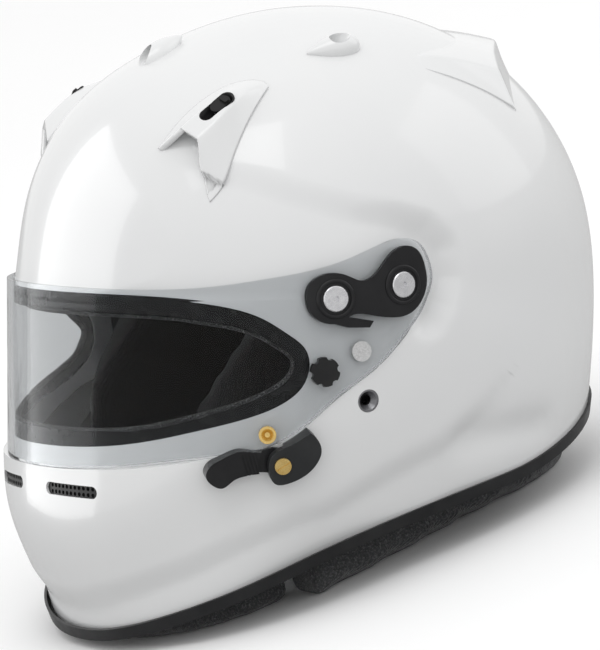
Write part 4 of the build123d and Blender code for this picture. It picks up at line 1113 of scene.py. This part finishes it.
puff("neck_roll", "neck_roll_padded", HEATHER, 3.0, 0.0015)
puff("chin_skirt", "chin_skirt_padded", HEATHER, 3.0, 0.0015)
puff("crown_pad", "crown_pad_soft", LINING, 2.0, 0.002)
puff("cheek_pad_left", "cheek_pad_left_soft", LINING, 3.0, 0.003)
puff("cheek_pad_right", "cheek_pad_right_soft", LINING, 3.0, 0.003)


# stage
bpy.context.scene.view_settings.view_transform = "Standard"
floor_mat, nt, bsdf = material("pale_floor")


def floor_shade(node, low, high):
    """A matt grey that wanders a little between two levels."""
    link(nt, mottled(nt, 3.0, (low, low, low), (high, high, high)), node.inputs["Base Color"])
    node.inputs["Roughness"].default_value = 0.8
    node.inputs["Specular IOR Level"].default_value = 0.1
    return node.outputs["BSDF"]


# the camera sees the floor nearly white, and it throws less light back on the helmet
path = nt.nodes.new("ShaderNodeLightPath")
seen = nt.nodes.new("ShaderNodeBsdfPrincipled")
shade = nt.nodes.new("ShaderNodeMixShader")
link(nt, path.outputs["Is Camera Ray"], shade.inputs["Fac"])
link(nt, floor_shade(bsdf, 0.5, 0.52), shade.inputs[1])
link(nt, floor_shade(seen, 0.93, 0.94), shade.inputs[2])
link(nt, shade.outputs[0], nt.nodes["Material Output"].inputs["Surface"])
FLOOR_HALF, FLOOR_LEVEL = 6, -0.0005
corners = [(-FLOOR_HALF, -FLOOR_HALF, FLOOR_LEVEL), (FLOOR_HALF, -FLOOR_HALF, FLOOR_LEVEL),
           (FLOOR_HALF, FLOOR_HALF, FLOOR_LEVEL), (-FLOOR_HALF, FLOOR_HALF, FLOOR_LEVEL)]
floor = new_object("floor", corners, [(0, 1, 2, 3)], smooth=False)
floor.data.materials.append(floor_mat)


# camera at the photograph's angle
BACK = np.array([0.8725, -0.4836, 0.0698])
CAMERA_TURN = math.radians(61)
RIGHT = np.array([math.cos(CAMERA_TURN), math.sin(CAMERA_TURN), 0.0])
UP = np.cross(BACK, RIGHT)
CAMERA_DISTANCE, CAMERA_RIGHT, CAMERA_DOWN = 2500, 10.8, 26.8
cam = bpy.data.cameras.new("camera")
cam.sensor_fit = "HORIZONTAL"
cam.sensor_width = 36
cam.lens = 300
cam.clip_end = 100
cam_obj = bpy.data.objects.new("camera", cam)
bpy.context.scene.collection.objects.link(cam_obj)
spot = place(BACK * CAMERA_DISTANCE + RIGHT * CAMERA_RIGHT - UP * CAMERA_DOWN)
axes = [turn(RIGHT), turn(UP), turn(BACK)]
cam_obj.matrix_world = Matrix([[axis[row] for axis in axes] + [spot[row]] for row in range(3)]
                              + [[0, 0, 0, 1]])
bpy.context.scene.camera = cam_obj


# lights and the white surroundings
def softbox(name, where, size_x, size_y, power):
    """A soft studio light at a place in upright mm, aimed at the core."""
    light = bpy.data.lights.new(name, "AREA")
    light.shape = "RECTANGLE"
    light.size, light.size_y = size_x, size_y
    light.energy = power
    obj = bpy.data.objects.new(name, light)
    bpy.context.scene.collection.objects.link(obj)
    spot, core = Vector(place(where)), Vector(place((0, 0, 0)))
    obj.location = spot
    obj.rotation_euler = (core - spot).to_track_quat("-Z", "Y").to_euler()
    return obj


def view_place(right, up, back):
    """A place given along the camera's own directions, in mm from the core."""
    return RIGHT * right + UP * up + BACK * back


def around(azimuth, elevation, distance):
    """A place round the helmet, the azimuth counted from its front towards its left."""
    a, e = math.radians(azimuth), math.radians(elevation)
    return np.array([math.sin(a) * math.cos(e), -math.cos(a) * math.cos(e),
                     math.sin(e)]) * distance


panel = softbox("front_right", around(-38, 8, 1900), 1.8, 1.9, 22)
panel.visible_diffuse = False
softbox("key", view_place(-500, 1700, 1300), 1.5, 1.0, 8)
softbox("rear", around(150, 35, 2200), 1.4, 1.6, 4)
world = bpy.data.worlds.new("studio")
bpy.context.scene.world = world
world.use_nodes = True
nt = world.node_tree
nt.nodes.clear()
out = nt.nodes.new("ShaderNodeOutputWorld")
white = nt.nodes.new("ShaderNodeBackground")
white.inputs["Color"].default_value = (1, 1, 1, 1)
white.inputs["Strength"].default_value = 1.0
link(nt, white.outputs[0], out.inputs["Surface"])
